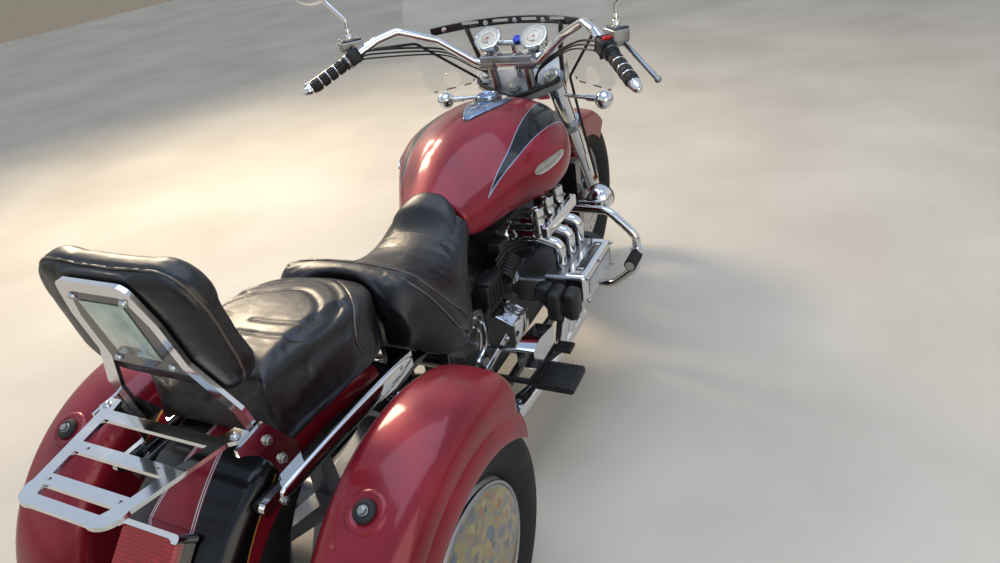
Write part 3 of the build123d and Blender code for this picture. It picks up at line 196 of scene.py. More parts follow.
def arc(a, through, b, steps):
    """Points on the circle through three 2-D points, both ends included."""
    (x1, y1), (x2, y2), (x3, y3) = a, through, b
    d = 2 * (x1 * (y2 - y3) + x2 * (y3 - y1) + x3 * (y1 - y2))
    s1, s2, s3 = x1 * x1 + y1 * y1, x2 * x2 + y2 * y2, x3 * x3 + y3 * y3
    cx = (s1 * (y2 - y3) + s2 * (y3 - y1) + s3 * (y1 - y2)) / d
    cy = (s1 * (x3 - x2) + s2 * (x1 - x3) + s3 * (x2 - x1)) / d
    r = sqrt((x1 - cx) ** 2 + (y1 - cy) ** 2)
    first, mid, last = (atan2(y - cy, x - cx) for x, y in (a, through, b))
    turn = (last - first) % (2 * pi)
    if (mid - first) % (2 * pi) > turn:
        turn -= 2 * pi
    angles = [first + turn * i / steps for i in range(steps + 1)]
    return [(cx + r * cos(angle), cy + r * sin(angle)) for angle in angles]


def ring(bm, profile, centre, steps, closed=False):
    """Spins a profile of (across, radius) points in metres about the axle through a hub."""
    verts = [bm.verts.new(centre + Vector((across, 0, radius))) for across, radius in profile]
    pairs = list(zip(verts, verts[1:])) + ([(verts[-1], verts[0])] if closed else [])
    edges = [bm.edges.new(p) for p in pairs]
    bmesh.ops.spin(
        bm, geom=verts + edges, cent=centre, axis=(1, 0, 0), angle=2 * pi, steps=steps, use_merge=True
    )


def piece(name, bm, finish, body, smooth=35, replaces=()):
    """Turns a bmesh into a finished piece that rides on a body."""
    bmesh.ops.remove_doubles(bm, verts=bm.verts, dist=1e-5)
    bmesh.ops.recalc_face_normals(bm, faces=bm.faces)
    mesh = bpy.data.meshes.new(name)
    bm.to_mesh(mesh)
    bm.free()
    mesh.polygons.foreach_set("use_smooth", [True] * len(mesh.polygons))
    mesh.set_sharp_from_angle(angle=radians(smooth))
    made = bpy.data.objects.new(name, mesh)
    bpy.context.collection.objects.link(made)
    mesh.materials.append(finish)
    if replaces:
        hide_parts(*replaces)
    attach(made, body)


def tyre_profile(radius, half, rim_r):
    """The section round the tread, down both walls and across the beads."""
    bead, shoulder = half * 0.62, half * 0.84
    belly = (radius + rim_r) / 2 + 4
    edge_r = radius - 0.24 * half
    tread = []
    for x, r in arc((-shoulder, edge_r), (0, radius), (shoulder, edge_r), 28):
        in_groove = any(abs(abs(x) - share * half) < GROOVE_MM / 2 for share in (0.0, 0.34))
        tread.append((x, r - (GROOVE_DEEP_MM if in_groove else 0.0)))
    wall = arc((bead, rim_r + 0.4), (half, belly), (shoulder, edge_r), 12)
    right = list(reversed(wall))[1:]
    left = [(-x, r) for x, r in wall][:-1]
    return [(x / 1000, r / 1000) for x, r in left + tread + right]


# Road tyre rubber: carbon black, moulded, greyed by dust on the walls. Each sipe takes about a sixth
# of the way to the next one, some 7 mm.
tyre_rubber = plain_finish(
    "moulded_tyre_rubber",
    "#161617",
    0.75,
    0.0,
    (3, 0.25, (0.62, 0.85), 60),
    [(0.3, "#121213"), (0.62, "#1D1D1E"), (0.8, "#2B2A28")],
    Specular_IOR_Level=0.35,
)


def sipes(tree, centre, near, bump):
    """Slanted cuts across the shoulders, evenly round the wheel, outside a radius near the crown."""
    place = add(tree, "TexCoord").outputs["Object"]
    local = add(tree, "VectorMath", {0: place, 1: centre}, operation="SUBTRACT")
    split = add(tree, "SeparateXYZ", {"Vector": local})
    turn = add(tree, "Math", {0: split.outputs["Y"], 1: split.outputs["Z"]}, operation="ARCTAN2")
    lean = add(tree, "Math", {0: split.outputs["X"]}, operation="ABSOLUTE")
    lean = add(tree, "Math", {0: lean, 1: 26.0}, operation="MULTIPLY")
    turns = add(tree, "Math", {0: turn, 1: SIPES / (2 * pi)}, operation="MULTIPLY")
    phase = add(tree, "Math", {0: turns, 1: lean}, operation="ADD")
    saw = add(tree, "Math", {0: phase}, operation="FRACT")
    cut = add(tree, "Math", {0: saw, 1: SIPE_SHARE}, operation="GREATER_THAN")
    square = add(tree, "Math", {0: split.outputs["Y"], 1: split.outputs["Y"]}, operation="MULTIPLY")
    up = split.outputs["Z"]
    reach = add(tree, "Math", {0: up, 1: up, 2: square}, operation="MULTIPLY_ADD")
    wall = add(tree, "Math", {0: reach, 1: near * near}, operation="LESS_THAN")
    height = add(tree, "Math", {0: cut, 1: wall}, operation="MAXIMUM")
    cuts = {"Height": height, "Distance": SIPE_DEEP_MM / 1000, "Strength": 0.9, "Normal": bump}
    return add(tree, "Bump", cuts).outputs[0]


TYRES = [
    # name, side, hub, half width, rim radius, body
    ("front_tyre", 1, FRONT_HUB, 75, 222, "front_wheel"),
    ("rear_tyre", 1, REAR_HUB, 90, 211, "rear_wheel"),
    ("outrigger_tyre_right", 1, OUTRIGGER_HUB, 70, 198, "outrigger_wheel_right"),
    ("outrigger_tyre_left", -1, OUTRIGGER_HUB, 70, 198, "outrigger_wheel_left"),
]
for name, side, hub, half, rim_r, body in TYRES:
    centre, radius = at(side * hub[0], *hub[1:]), hub[2]
    bm = bmesh.new()
    ring(bm, tyre_profile(radius, half, rim_r), centre, 112)
    rubber = tyre_rubber.copy()
    rubber.name = "moulded_tyre_rubber_" + name
    tree = rubber.node_tree
    shader = tree.nodes["Principled BSDF"]
    bump = [n for n in tree.nodes if n.bl_idname == "ShaderNodeBump"][0]
    cuts = sipes(tree, centre, (radius - 0.30 * half) / 1000, bump)
    tree.links.new(cuts, shader.inputs["Normal"])
    piece(name + "_carcass", bm, rubber, body, 50, replaces=[name])

# Wheels. Hubs, spokes and rims are one aluminium casting; the front discs are ground steel. Flat
# pressed covers close the outrigger wheels, coloured all over in a flake mosaic and held by a bright trim
# ring.
cast_alloy = plain_finish(
    "sand_cast_aluminium", "#9EA0A3", 0.42, 1.0, (2.5, 0.25, (0.3, 0.52), 70),
    [(0.3, "#85878A"), (0.7, "#AEB0B3")]
)
disc_steel = plain_finish(
    "ground_stainless_steel", "#A7A9AC", 0.3, 1.0, (1.5, 0.1, (0.22, 0.4), 40), Anisotropic=0.5
)


def finish_node(node, finish):
    """Gives a carried-over CAD node its finish."""
    slots = frame["nodes"][node].data.materials
    slots.clear()
    slots.append(finish)


for node in ("front_rim", "rear_rim", "outrigger_rim_right", "outrigger_rim_left"):
    finish_node(node, cast_alloy)
finish_node("front_discs", disc_steel)

# Colour on the cover: a generic mosaic of mustard, orange, blue and grey flakes 18 mm across, their
# colours muted and run a little into each other.
FLAKES_PER_METRE = 56.0
cover_mosaic, tree, shader = material("flake_mosaic_cover", "#B9A25A", 0.3, 0.0, Coat_Weight=0.6)
place = worn(tree, shader, 5, 0.05, (0.25, 0.45), 60)[0]
drift = add(tree, "TexNoise", {"Vector": place, "Scale": 16.0, "Detail": 3.0})
moved = add(tree, "VectorMath", {0: drift.outputs["Color"], "Scale": 0.045}, operation="SCALE")
moved = add(tree, "VectorMath", {0: moved, 1: place}, operation="ADD")
flakes = add(tree, "TexVoronoi", {"Vector": moved, "Scale": FLAKES_PER_METRE})
tone = add(tree, "SeparateColor", {"Color": flakes.outputs["Color"]})
FLAKE_COLOURS = [
    (0.0, "#3A5478"),
    (0.16, "#8F8548"),
    (0.4, "#6B6A66"),
    (0.55, "#9A9156"),
    (0.72, "#8A5830"),
    (0.82, "#7C776C"),
    (1.0, "#2F3F55"),
]
flake_colour = add(tree, "ValToRGB", {"Fac": tone}, stops=FLAKE_COLOURS)
edge = add(tree, "TexVoronoi", {"Vector": moved, "Scale": FLAKES_PER_METRE}, feature="DISTANCE_TO_EDGE")
line = add(tree, "MapRange", {"Value": edge.outputs["Distance"], "From Max": 0.08, "To Min": 0.5})
mix = add(tree, "Mix", {0: line, 6: linear("#6E6A58"), 7: flake_colour}, data_type="RGBA")
tree.links.new(mix.outputs[2], shader.inputs["Base Color"])

# Chrome plate: nickel and chromium over polished steel, a mirror with faint hazing and smears.
chrome = plain_finish("polished_chrome_plate", "#DADCDF", 0.07, 1.0, (14, 0.05, (0.04, 0.15), 50))

SIDES = ((1, "right"), (-1, "left"))
for side, tag in SIDES:
    hub = at(side * OUTRIGGER_HUB[0], *OUTRIGGER_HUB[1:])
    bm = bmesh.new()
    face = [(0.0644, 0.0), (0.0641, 0.06), (0.0634, 0.180), (0.0618, 0.1845), (0.0610, 0.1845), (0.0610, 0.0)]
    ring(bm, [(side * a, r) for a, r in face], hub, 96)
    piece("cover_face_" + tag, bm, cover_mosaic, "outrigger_wheel_" + tag, 30)
    bm = bmesh.new()
    bead = arc((0.0585, 0.186), (0.0640, 0.1895), (0.0570, 0.193), 8)
    ring(bm, [(side * a, r) for a, r in bead], hub, 96, closed=True)
    piece("cover_trim_ring_" + tag, bm, disc_steel, "outrigger_wheel_" + tag, 40)

# Frame, swingarm and outrigger carrier: welded steel tube under black gloss enamel that is
# scuffed where hands, boots and the road reach it. Bolts and axles are zinc-plated steel.
black_enamel = plain_finish(
    "black_gloss_enamel", "#0C0C0E", 0.22, 0.0, (9, 0.12, (0.16, 0.4), 80),
    [(0.35, "#0A0A0C"), (0.75, "#1B1A1A")], Coat_Weight=0.6, Coat_Roughness=0.06
)
zinc_steel = plain_finish("zinc_plated_steel", "#A5A6A2", 0.35, 1.0, (4, 0.12, (0.25, 0.5), 30))
dark_alloy = plain_finish(
    "dark_cast_aluminium", "#4A4B4E", 0.5, 0.9, (2.2, 0.4, (0.4, 0.62), 60),
    [(0.35, "#2E2F31"), (0.7, "#55565A")]
)
# Injection-moulded black nylon, with the fine spark texture of its tool.
black_nylon = plain_finish("moulded_black_nylon", "#151516", 0.5, 0.0, (2.0, 0.3, (0.42, 0.6), 50))
# Rubber that is moulded thick: pads, hoses, boots.
soft_rubber = plain_finish("moulded_black_rubber", "#141414", 0.65, 0.0, (2.5, 0.25, (0.55, 0.78), 30))

for node in ("frame", "swingarm", "outrigger_carrier", "side_covers", "radiator"):
    finish_node(node, black_enamel)
for node in ("swingarm_pivot", "rear_axle", "front_axle"):
    finish_node(node, zinc_steel)
for node in ("triple_clamps", "bar_clamps", "cylinder_banks", "brake_calipers", "hand_controls"):
    finish_node(node, cast_alloy)
finish_node("engine_block", dark_alloy)
finish_node("engine_covers", black_nylon)
finish_node("control_hoses", soft_rubber)
CHROMED = (
    "fork_legs handlebar mirrors gauges headlamp turn_signals side_stand rear_shocks valve_covers "
    "intake_runners exhausts filler_console lamp_bezel sissy_bar luggage_rack fender_struts engine_guards "
    "driving_lamps passenger_pegs heel_guards"
)
for node in CHROMED.split():
    finish_node(node, chrome)

# Fuel tank. Two steel pressings are welded at the lower seam, filled smooth and sprayed candy
# crimson, with a black wedge and a thin silver-blue line on each shoulder, under clear lacquer.


def skin_of(node):
    """A merged copy of a CAD node's mesh."""
    bm = bmesh.new()
    bm.from_mesh(frame["nodes"][node].data)
    bmesh.ops.remove_doubles(bm, verts=bm.verts, dist=2e-5)
    bmesh.ops.recalc_face_normals(bm, faces=bm.faces)
    return bm


def remeshed(bm, voxel_mm):
    """The same form in even faces a few millimetres across."""
    mesh = bpy.data.meshes.new("even_faces")
    bm.to_mesh(mesh)
    bm.free()
    holder = bpy.data.objects.new("even_faces", mesh)
    bpy.context.collection.objects.link(holder)
    step = holder.modifiers.new("voxels", "REMESH")
    step.mode = "VOXEL"
    step.voxel_size = voxel_mm / 1000
    bpy.context.view_layer.update()
    done = bmesh.new()
    done.from_object(holder, bpy.context.evaluated_depsgraph_get())
    bpy.data.objects.remove(holder)
    bpy.data.meshes.remove(mesh)
    return done


def relaxed(bm, times):
    """Moves each vertex half way to the middle of its neighbours, a few times."""
    every_way = {"use_axis_x": True, "use_axis_y": True, "use_axis_z": True}
    for _ in range(times):
        bmesh.ops.smooth_vert(bm, verts=bm.verts, factor=0.5, **every_way)


def faces_up(bm):
    """Turns an open sheet's faces upwards."""
    bmesh.ops.recalc_face_normals(bm, faces=bm.faces)
    if sum(face.normal.z for face in bm.faces) < 0:
        bmesh.ops.reverse_faces(bm, faces=bm.faces)


def band_mask(tree, value, low, high):
    """1 where a value lies between two others, else 0."""
    above = add(tree, "Math", {0: value, 1: low}, operation="GREATER_THAN")
    below = add(tree, "Math", {0: value, 1: high}, operation="LESS_THAN")
    return add(tree, "Math", {0: above, 1: below}, operation="MULTIPLY")


def layered(tree, shader, under, layers):
    """Paints colours over each other, each through its own mask."""
    for mask, code in layers:
        mixed = add(tree, "Mix", {0: mask, 7: linear(code)}, data_type="RGBA")
        tree.links.new(under, mixed.inputs[6])
        under = mixed.outputs[2]
    tree.links.new(under, shader.inputs["Base Color"])


def candy(name):
    """Candy crimson: a clear red over a metallic base coat, under lacquer with a little orange peel."""
    lacquer = {"Coat_Weight": 0.5, "Coat_Roughness": 0.1, "Specular_IOR_Level": 0.25}
    made, tree, shader = material(name, "#8B1629", 0.35, 0.3, **lacquer)
    place, patches, _ = worn(tree, shader, 5, 0.02, (0.3, 0.46), 120)
    stops = [(0.3, "#6E0D1F"), (0.55, "#841426"), (0.8, "#921B33")]
    red = add(tree, "ValToRGB", {"Fac": patches}, stops=stops).outputs[0]
    tree.links.new(red, shader.inputs["Base Color"])
    split = add(tree, "SeparateXYZ", {"Vector": place})
    across = add(tree, "Math", {0: split.outputs["X"]}, operation="ABSOLUTE")
    return made, tree, shader, red, across, split


tank_paint, tree, shader, red, across, split = candy("candy_crimson_lacquer_with_wedges")
WEDGE = {
    # edge: two straight runs, each (metres across at the rear axle, metres across per metre ahead)
    "inner": ((0.0667, 0.1057), (0.2332, -0.0913)),
    "outer": ((-0.0873, 0.319), (0.0597, 0.1435)),
}
edges = {}
for name, runs in WEDGE.items():
    lines = []
    for start, slope in runs:
        run = {0: split.outputs["Y"], 1: slope, 2: start - slope * AXLE_Y}
        lines.append(add(tree, "Math", run, operation="MULTIPLY_ADD"))
    edges[name] = add(tree, "Math", {0: lines[0], 1: lines[1], 2: 0.012}, operation="SMOOTH_MIN")
WEDGE_FOOT, STRIPE_WIDE = 0.775, 0.0022
top_only = add(tree, "Math", {0: split.outputs["Z"], 1: WEDGE_FOOT}, operation="GREATER_THAN")
inside = band_mask(tree, across, edges["inner"], edges["outer"])
inside = add(tree, "Math", {0: inside, 1: top_only}, operation="MULTIPLY")
wider = [
    add(tree, "Math", {0: edges[n], 1: d}, operation="ADD")
    for n, d in (("inner", -STRIPE_WIDE), ("outer", STRIPE_WIDE))
]
stripe = band_mask(tree, across, *wider)
stripe = add(tree, "Math", {0: stripe, 1: top_only}, operation="MULTIPLY")
layered(tree, shader, red, [(stripe, "#8A94A6"), (inside, "#0B0B0E")])

bm = remeshed(skin_of("fuel_tank"), 6)
relaxed(bm, 6)
tank_surface = BVHTree.FromBMesh(bm)
piece("tank_shell", bm, tank_paint, "chassis", 60, replaces=["fuel_tank"])

# Tank badges. A long silver casting with a raised rim and a bare field is stuck on each flank.
badge_silver = plain_finish("satin_silver_plated_zinc", "#C4C8CC", 0.25, 1.0, (2, 0.05, (0.16, 0.32), 20))
BADGE_AHEAD, BADGE_UP, BADGE_HALF_LONG, BADGE_HALF_TALL = 918, 802, 70, 13
for side, tag in SIDES:
    bm = bmesh.new()
    bmesh.ops.create_grid(bm, x_segments=36, y_segments=6, size=0.5)
    for v in list(bm.verts):
        u, w = 2 * v.co.x, 2 * v.co.y
        tall = BADGE_HALF_TALL * w * sqrt(max(0.0, 1 - abs(u) ** 2.6)) * (1 - 0.25 * u)
        start = at(side * 420, BADGE_AHEAD + BADGE_HALF_LONG * u, BADGE_UP + 9 * u + tall)
        hit, normal, _, _ = tank_surface.ray_cast(start, Vector((-side, 0, 0)))
        raised = 0.0022 if max(abs(u), abs(w)) > 0.8 else 0.0010
        v.co = hit + normal.normalized() * raised
    bmesh.ops.remove_doubles(bm, verts=bm.verts, dist=1e-5)
    bmesh.ops.recalc_face_normals(bm, faces=bm.faces)
    bmesh.ops.solidify(bm, geom=list(bm.faces), thickness=side * 0.0032)
    piece("tank_badge_" + tag, bm, badge_silver, "chassis", 40)

# Filler console. A shield-shaped chromed zinc casting lies on the tank over a brown rubber seal. Its
# hinged round cap has a ring of six blocks on it and a seal of its own.
seal_brown = plain_finish("aged_brown_rubber_seal", "#4A3B34", 0.6, 0.0, (2, 0.2, (0.5, 0.7), 15))


def stood(bm, spot, direction):
    """Turns a shape made along Z to a direction, and moves it from the origin to a spot."""
    turn = Vector(direction).to_track_quat("Z", "Y").to_matrix().to_4x4()
    bmesh.ops.transform(bm, matrix=Matrix.Translation(spot) @ turn, verts=bm.verts)


def spun(bm, spot, normal, profile, steps=40):
    """Turns a closed profile of (height, radius) in mm about a normal at a spot in metres."""
    profile = list(profile)
    if profile[0][1] == 0 < profile[-1][1]:
        profile.append((profile[-1][0], 0))
    elif profile[-1][1] == 0 < profile[0][1]:
        profile.insert(0, (profile[0][0], 0))
    made = bmesh.new()
    verts = [made.verts.new((r / 1000, 0, h / 1000)) for h, r in profile]
    pairs = list(zip(verts, verts[1:])) + ([(verts[-1], verts[0])] if profile[0][1] else [])
    edges = [made.edges.new(p) for p in pairs]
    bmesh.ops.spin(made, geom=verts + edges, axis=(0, 0, 1), angle=2 * pi, steps=steps, use_merge=True)
    bmesh.ops.remove_doubles(made, verts=made.verts, dist=1e-6)
    bmesh.ops.recalc_face_normals(made, faces=made.faces)
    stood(made, spot, normal)
    poured(bm, made)


def poured(bm, other):
    """Adds one bmesh to another."""
    mesh = bpy.data.meshes.new("part")
    other.to_mesh(mesh)
    other.free()
    bm.from_mesh(mesh)
    bpy.data.meshes.remove(mesh)


def turned(name, spot, normal, profile, steps, finish, body, smooth):
    """A piece that is one turned shape."""
    bm = bmesh.new()
    spun(bm, spot, normal, profile, steps)
    piece(name, bm, finish, body, smooth)


def rounded_block(bm, spot, size, edge=2.0, turn=None, segments=2):
    """A block in mm with rounded edges, centred on a spot in metres and turned by a matrix."""
    made = bmesh.new()
    bmesh.ops.create_cube(made, size=0.001)
    bmesh.ops.scale(made, vec=size, verts=made.verts)
    edges, offset = list(made.edges), edge / 1000
    bmesh.ops.bevel(
        made, geom=edges, offset=offset, affect="EDGES", segments=segments, profile=0.5, material=-1
    )
    move = Matrix.Translation(spot) @ (turn.to_4x4() if turn else Matrix.Identity(4))
    bmesh.ops.transform(made, matrix=move, verts=made.verts)
    poured(bm, made)


def rod_between(bm, a, b, r1, r2=None, steps=20, edge=1.0):
    """A turned rod in mm radii between two points in metres, with eased ends."""
    r2 = r1 if r2 is None else r2
    long = (b - a).length * 1000
    profile = [(0, 0), (0, r1 - edge), (edge, r1), (long - edge, r2), (long, r2 - edge), (long, 0)]
    spun(bm, a, (b - a).normalized(), profile, steps)


def bolt(bm, spot, normal, across_flats):
    """A flanged hexagon bolt head standing on a surface."""
    r = across_flats / sqrt(3)
    normal = Vector(normal)
    rod_between(bm, spot, spot + normal * 0.0018, r * 1.25, steps=20, edge=0.5)
    made = bmesh.new()
    bmesh.ops.create_cone(made, cap_ends=True, segments=6, radius1=r / 1000, radius2=r / 1000, depth=0.006)
    rim = [e for e in made.edges if all(v.co.z > 0 for v in e.verts)]
    bmesh.ops.bevel(made, geom=rim, offset=0.0008, affect="EDGES", segments=2, profile=0.5, material=-1)
    stood(made, spot + normal * 0.0045, normal)
    poured(bm, made)


blue_chrome = plain_finish(
    "polished_chrome_on_zinc_casting", "#9FB2CC", 0.14, 1.0, (6, 0.06, (0.08, 0.24), 35)
)
CONSOLE_AHEAD, CONSOLE_HALF_WIDE, CONSOLE_HALF_LONG, CONSOLE_THICK_MM = 1004, 60, 98, 6


def laid(name, finish, shape, rise):
    """A thin casting laid on the tank: shape gives (across, ahead) in mm for u, w in -1 to 1."""
    bm = bmesh.new()
    bmesh.ops.create_grid(bm, x_segments=30, y_segments=40, size=1)
    for v in list(bm.verts):
        u, w = v.co.x, v.co.y
        x, ahead = shape(u, w)
        hit, normal, _, _ = tank_surface.ray_cast(at(x, ahead, 1200), Vector((0, 0, -1)))
        v.co = hit + normal * rise(u, w) / 1000
    bmesh.ops.remove_doubles(bm, verts=bm.verts, dist=1e-5)
    faces_up(bm)
    bmesh.ops.solidify(bm, geom=list(bm.faces), thickness=CONSOLE_THICK_MM / 1000)
    piece(name, bm, finish, "chassis", 45)


def shield(grow):
    """The console's plan: a shield with a flat brow ahead and a rounded point behind."""
    return lambda u, w: (
        u * (CONSOLE_HALF_WIDE + grow) * (1 - 0.86 * max(0.0, (0.45 - w) / 1.45) ** 1.5),
        CONSOLE_AHEAD + w * (CONSOLE_HALF_LONG + grow),
    )


def console_rise(u, w):
    """The console's height in mm: level, eased at its edge, with a groove down each side and across."""
    grooved = 0.5 < abs(u) + 0.2 * w < 0.58 or -0.34 < w < -0.27
    return 7.5 - 4.5 * max(abs(u), abs(w)) ** 6 - (1.8 if grooved else 0)


laid("console_seal", seal_brown, shield(5), lambda u, w: 1.2)
laid("console_shield", blue_chrome, shield(0), console_rise)
cap_at, cap_up = at(0, 1058, 952), Vector((0, -0.05, 1)).normalized()
bm = bmesh.new()
top = [(0, 0), (2, 8), (1.4, 12), (3.4, 13.5), (3.4, 22), (5, 24), (5, 28)]
spun(bm, cap_at, cap_up, top + [(3, 31), (-4, 32.5), (-16, 33)])
for i in range(6):
    facing = Matrix.Rotation(pi * i / 3, 3, "Z")
    spot = cap_at + facing @ Vector((0.0175, 0, 0)) + cap_up * 0.004
    rounded_block(bm, spot, (7, 10, 2.6), 0.8, facing)
rounded_block(bm, cap_at + Vector((0, 0.034, -0.006)), (22, 10, 9), 2.5)
piece("filler_cap", bm, blue_chrome, "chassis", 35)
lip, spot = arc((-4, 35), (4.5, 38.5), (-4, 42), 8), cap_at - cap_up * 0.012
turned("filler_seal", spot, cap_up, lip, 48, seal_brown, "chassis", 40)

# Seats and back pad. Moulded foam sits on a steel pan under black vinyl, which is sewn with a piped
# seam along each crest and pulled down in channels. A stiff cover closes the nose of the seat.
black_vinyl, tree, shader = material("grained_black_vinyl", "#101114", 0.36, 0.0, Specular_IOR_Level=0.5)
place = add(tree, "TexCoord").outputs["Object"]
# Vinyl's grain is about 1.5 mm across; it is drawn at 2.4 mm, the finest that the render shows.
GRAIN_MM, CREASE_MM = 2.4, 55
cells = add(tree, "TexVoronoi", {"Vector": place, "Scale": 1000 / GRAIN_MM}, feature="DISTANCE_TO_EDGE")
creases = add(
    tree, "TexNoise", {"Vector": place, "Scale": 1000 / CREASE_MM, "Detail": 5.0, "Distortion": 0.8}
)
limits = {"From Min": 0.3, "From Max": 0.7, "To Min": 0.3, "To Max": 0.48}
wear = add(tree, "MapRange", {"Value": creases, **limits})
tree.links.new(wear.outputs[0], shader.inputs["Roughness"])
BLACKS = [(0.3, "#0B0C10"), (0.6, "#131419"), (0.85, "#1B1C23")]
tone = add(tree, "ValToRGB", {"Fac": creases}, stops=BLACKS)
tree.links.new(tone.outputs[0], shader.inputs["Base Color"])
fine = add(tree, "Bump", {"Height": cells.outputs["Distance"], "Distance": 0.0003, "Strength": 0.5})
slack = add(tree, "Bump", {"Height": creases, "Distance": 0.004, "Strength": 0.35, "Normal": fine})
tree.links.new(slack.outputs[0], shader.inputs["Normal"])
# The piping is a lighter brown than the vinyl: a painted highlight for the light that each seam catches.
piping = plain_finish(
    "vinyl_piping_with_painted_highlight", "#4A4038", 0.3, 0.0, (1.2, 0.15, (0.22, 0.42), 25), Specular_IOR_Level=0.7
)
thread = plain_finish("waxed_polyester_thread", "#2B2C31", 0.5, 0.0, (1.0, 0.2, (0.4, 0.6), 12))
STITCH_MM = 6.0


def smooth_line(points, per_run=10):
    """Points along a smooth line through the given ones."""
    ends = [points[0] * 2 - points[1]] + list(points) + [points[-1] * 2 - points[-2]]
    line = []
    for p0, p1, p2, p3 in zip(ends, ends[1:], ends[2:], ends[3:]):
        for i in range(per_run):
            t = i / per_run
            bend = (p2 - p0) * t + (p0 * 2 - p1 * 5 + p2 * 4 - p3) * t**2
            bend += (p1 * 3 - p0 - p2 * 3 + p3) * t**3
            line.append(p1 + bend / 2)
    return line + [points[-1]]


def tube(bm, line, radius_mm, sides=8):
    """A round tube along a line of points, with closed ends."""
    curve = bpy.data.curves.new("tube", "CURVE")
    curve.dimensions = "3D"
    curve.bevel_depth = radius_mm / 1000
    curve.bevel_resolution = max(0, sides // 4 - 1)
    curve.use_fill_caps = True
    spline = curve.splines.new("POLY")
    spline.points.add(len(line) - 1)
    for point, spot in zip(spline.points, line):
        point.co = (*spot, 1)
    holder = bpy.data.objects.new("tube", curve)
    mesh = bpy.data.meshes.new_from_object(holder)
    made = bmesh.new()
    made.from_mesh(mesh)
    bmesh.ops.remove_doubles(made, verts=made.verts, dist=1e-6)
    poured(bm, made)
    for data, block in ((bpy.data.objects, holder), (bpy.data.curves, curve), (bpy.data.meshes, mesh)):
        data.remove(block)


def on_surface(surface, points, lift_mm, per_run=10):
    """A smooth line laid on a surface and lifted off it a little."""
    line = []
    for spot in smooth_line([at(*p) for p in points], per_run):
        hit, normal, _, _ = surface.find_nearest(spot)
        line.append(hit + normal * lift_mm / 1000)
    for _ in range(8):
        line[1:-1] = [(a + b * 2 + c) / 4 for a, b, c in zip(line, line[1:], line[2:])]
    return line


def cushion(name, node, cap_mm, against, channels):
    """Foam under a sewn cover: remeshed, blown up by cloth, capped, then creased at its seams."""
    bm = remeshed(skin_of(node), 6)
    for v in bm.verts:
        v.co -= v.normal * 0.004
    relaxed(bm, 3)
    mesh = bpy.data.meshes.new(name)
    bm.to_mesh(mesh)
    bm.free()
    made = bpy.data.objects.new(name, mesh)
    bpy.context.collection.objects.link(made)
    walls = [BVHTree.FromBMesh(skin_of(other)) for other in against]
    still = [
        v.index
        for v in mesh.vertices
        if v.normal.z < -0.3 or any(wall.find_nearest(v.co, 0.009)[0] for wall in walls)
    ]
    made.vertex_groups.new(name="held").add(still, 1.0, "REPLACE")
    cloth = made.modifiers.new("cloth", "CLOTH")
    cloth.settings.vertex_group_mass = "held"
    cloth.settings.quality = 4
    cloth.settings.tension_stiffness = cloth.settings.compression_stiffness = 12
    cloth.settings.use_pressure = True
    cloth.settings.uniform_pressure_force = 4
    cloth.settings.effector_weights.gravity = 0
    for now in range(1, 21):
        bpy.context.scene.frame_set(now)
    blown = made.evaluated_get(bpy.context.evaluated_depsgraph_get()).to_mesh()
    for v, moved in zip(mesh.vertices, blown.vertices):
        step = moved.co - v.co
        if step.length > cap_mm / 1000:
            step *= cap_mm / 1000 / step.length
        v.co += step
    made.to_mesh_clear()
    made.modifiers.clear()
    made.vertex_groups.clear()
    bpy.context.scene.frame_set(1)
    done = bmesh.new()
    done.from_mesh(mesh)
    surface = BVHTree.FromBMesh(done)
    pulls = []
    for points, wide, deep in channels:
        pulls += [(spot, wide / 1000, deep / 1000) for spot in on_surface(surface, points, 0, 16)]
    tree = KDTree(len(pulls))
    for index, (spot, _, _) in enumerate(pulls):
        tree.insert(spot, index)
    tree.balance()
    for v in done.verts:
        _, index, away = tree.find(v.co)
        _, wide, deep = pulls[index]
        if away < wide:
            v.co -= v.normal * deep * (1 - (away / wide) ** 2) ** 2
    done.to_mesh(mesh)
    surface = BVHTree.FromBMesh(done)
    done.free()
    mesh.polygons.foreach_set("use_smooth", [True] * len(mesh.polygons))
    finer = made.modifiers.new("finer", "SUBSURF")
    finer.levels = finer.render_levels = 1
    mesh.materials.append(black_vinyl)
    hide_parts(node)
    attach(made, "chassis")
    return surface


def sewn(name, surface, seams, radius_mm):
    """Piped seams on a cushion, with a row of stitches beside them."""
    bm = bmesh.new()
    for points in seams:
        tube(bm, on_surface(surface, points, radius_mm * 0.5), radius_mm)
    piece(name, bm, piping, "chassis", 60)
    bm = bmesh.new()
    for points in seams:
        line = on_surface(surface, points, 0.5, 40)
        gone = 0.0
        for a, b in zip(line, line[1:]):
            gone += (b - a).length
            if gone < STITCH_MM / 1000 or (b - a).length < 1e-6:
                continue
            gone = 0.0
            along = (b - a).normalized()
            hit, normal, _, _ = surface.find_nearest(a)
            spot = hit + normal.cross(along).normalized() * (radius_mm + 3) / 1000 + normal * 0.0004
            stitch = bmesh.new()
            long, r = STITCH_MM * 0.62 / 1000, 0.0005
            bmesh.ops.create_cone(stitch, cap_ends=True, segments=5, radius1=r, radius2=r, depth=long)
            stood(stitch, spot, along)
            poured(bm, stitch)
    piece(name + "_stitches", bm, thread, "chassis", 60)


def mirrored(points):
    """A seam's right half, run on over the middle to its left half."""
    return list(points) + [(-x, y, z) for x, y, z in reversed(points) if x > 0.5]


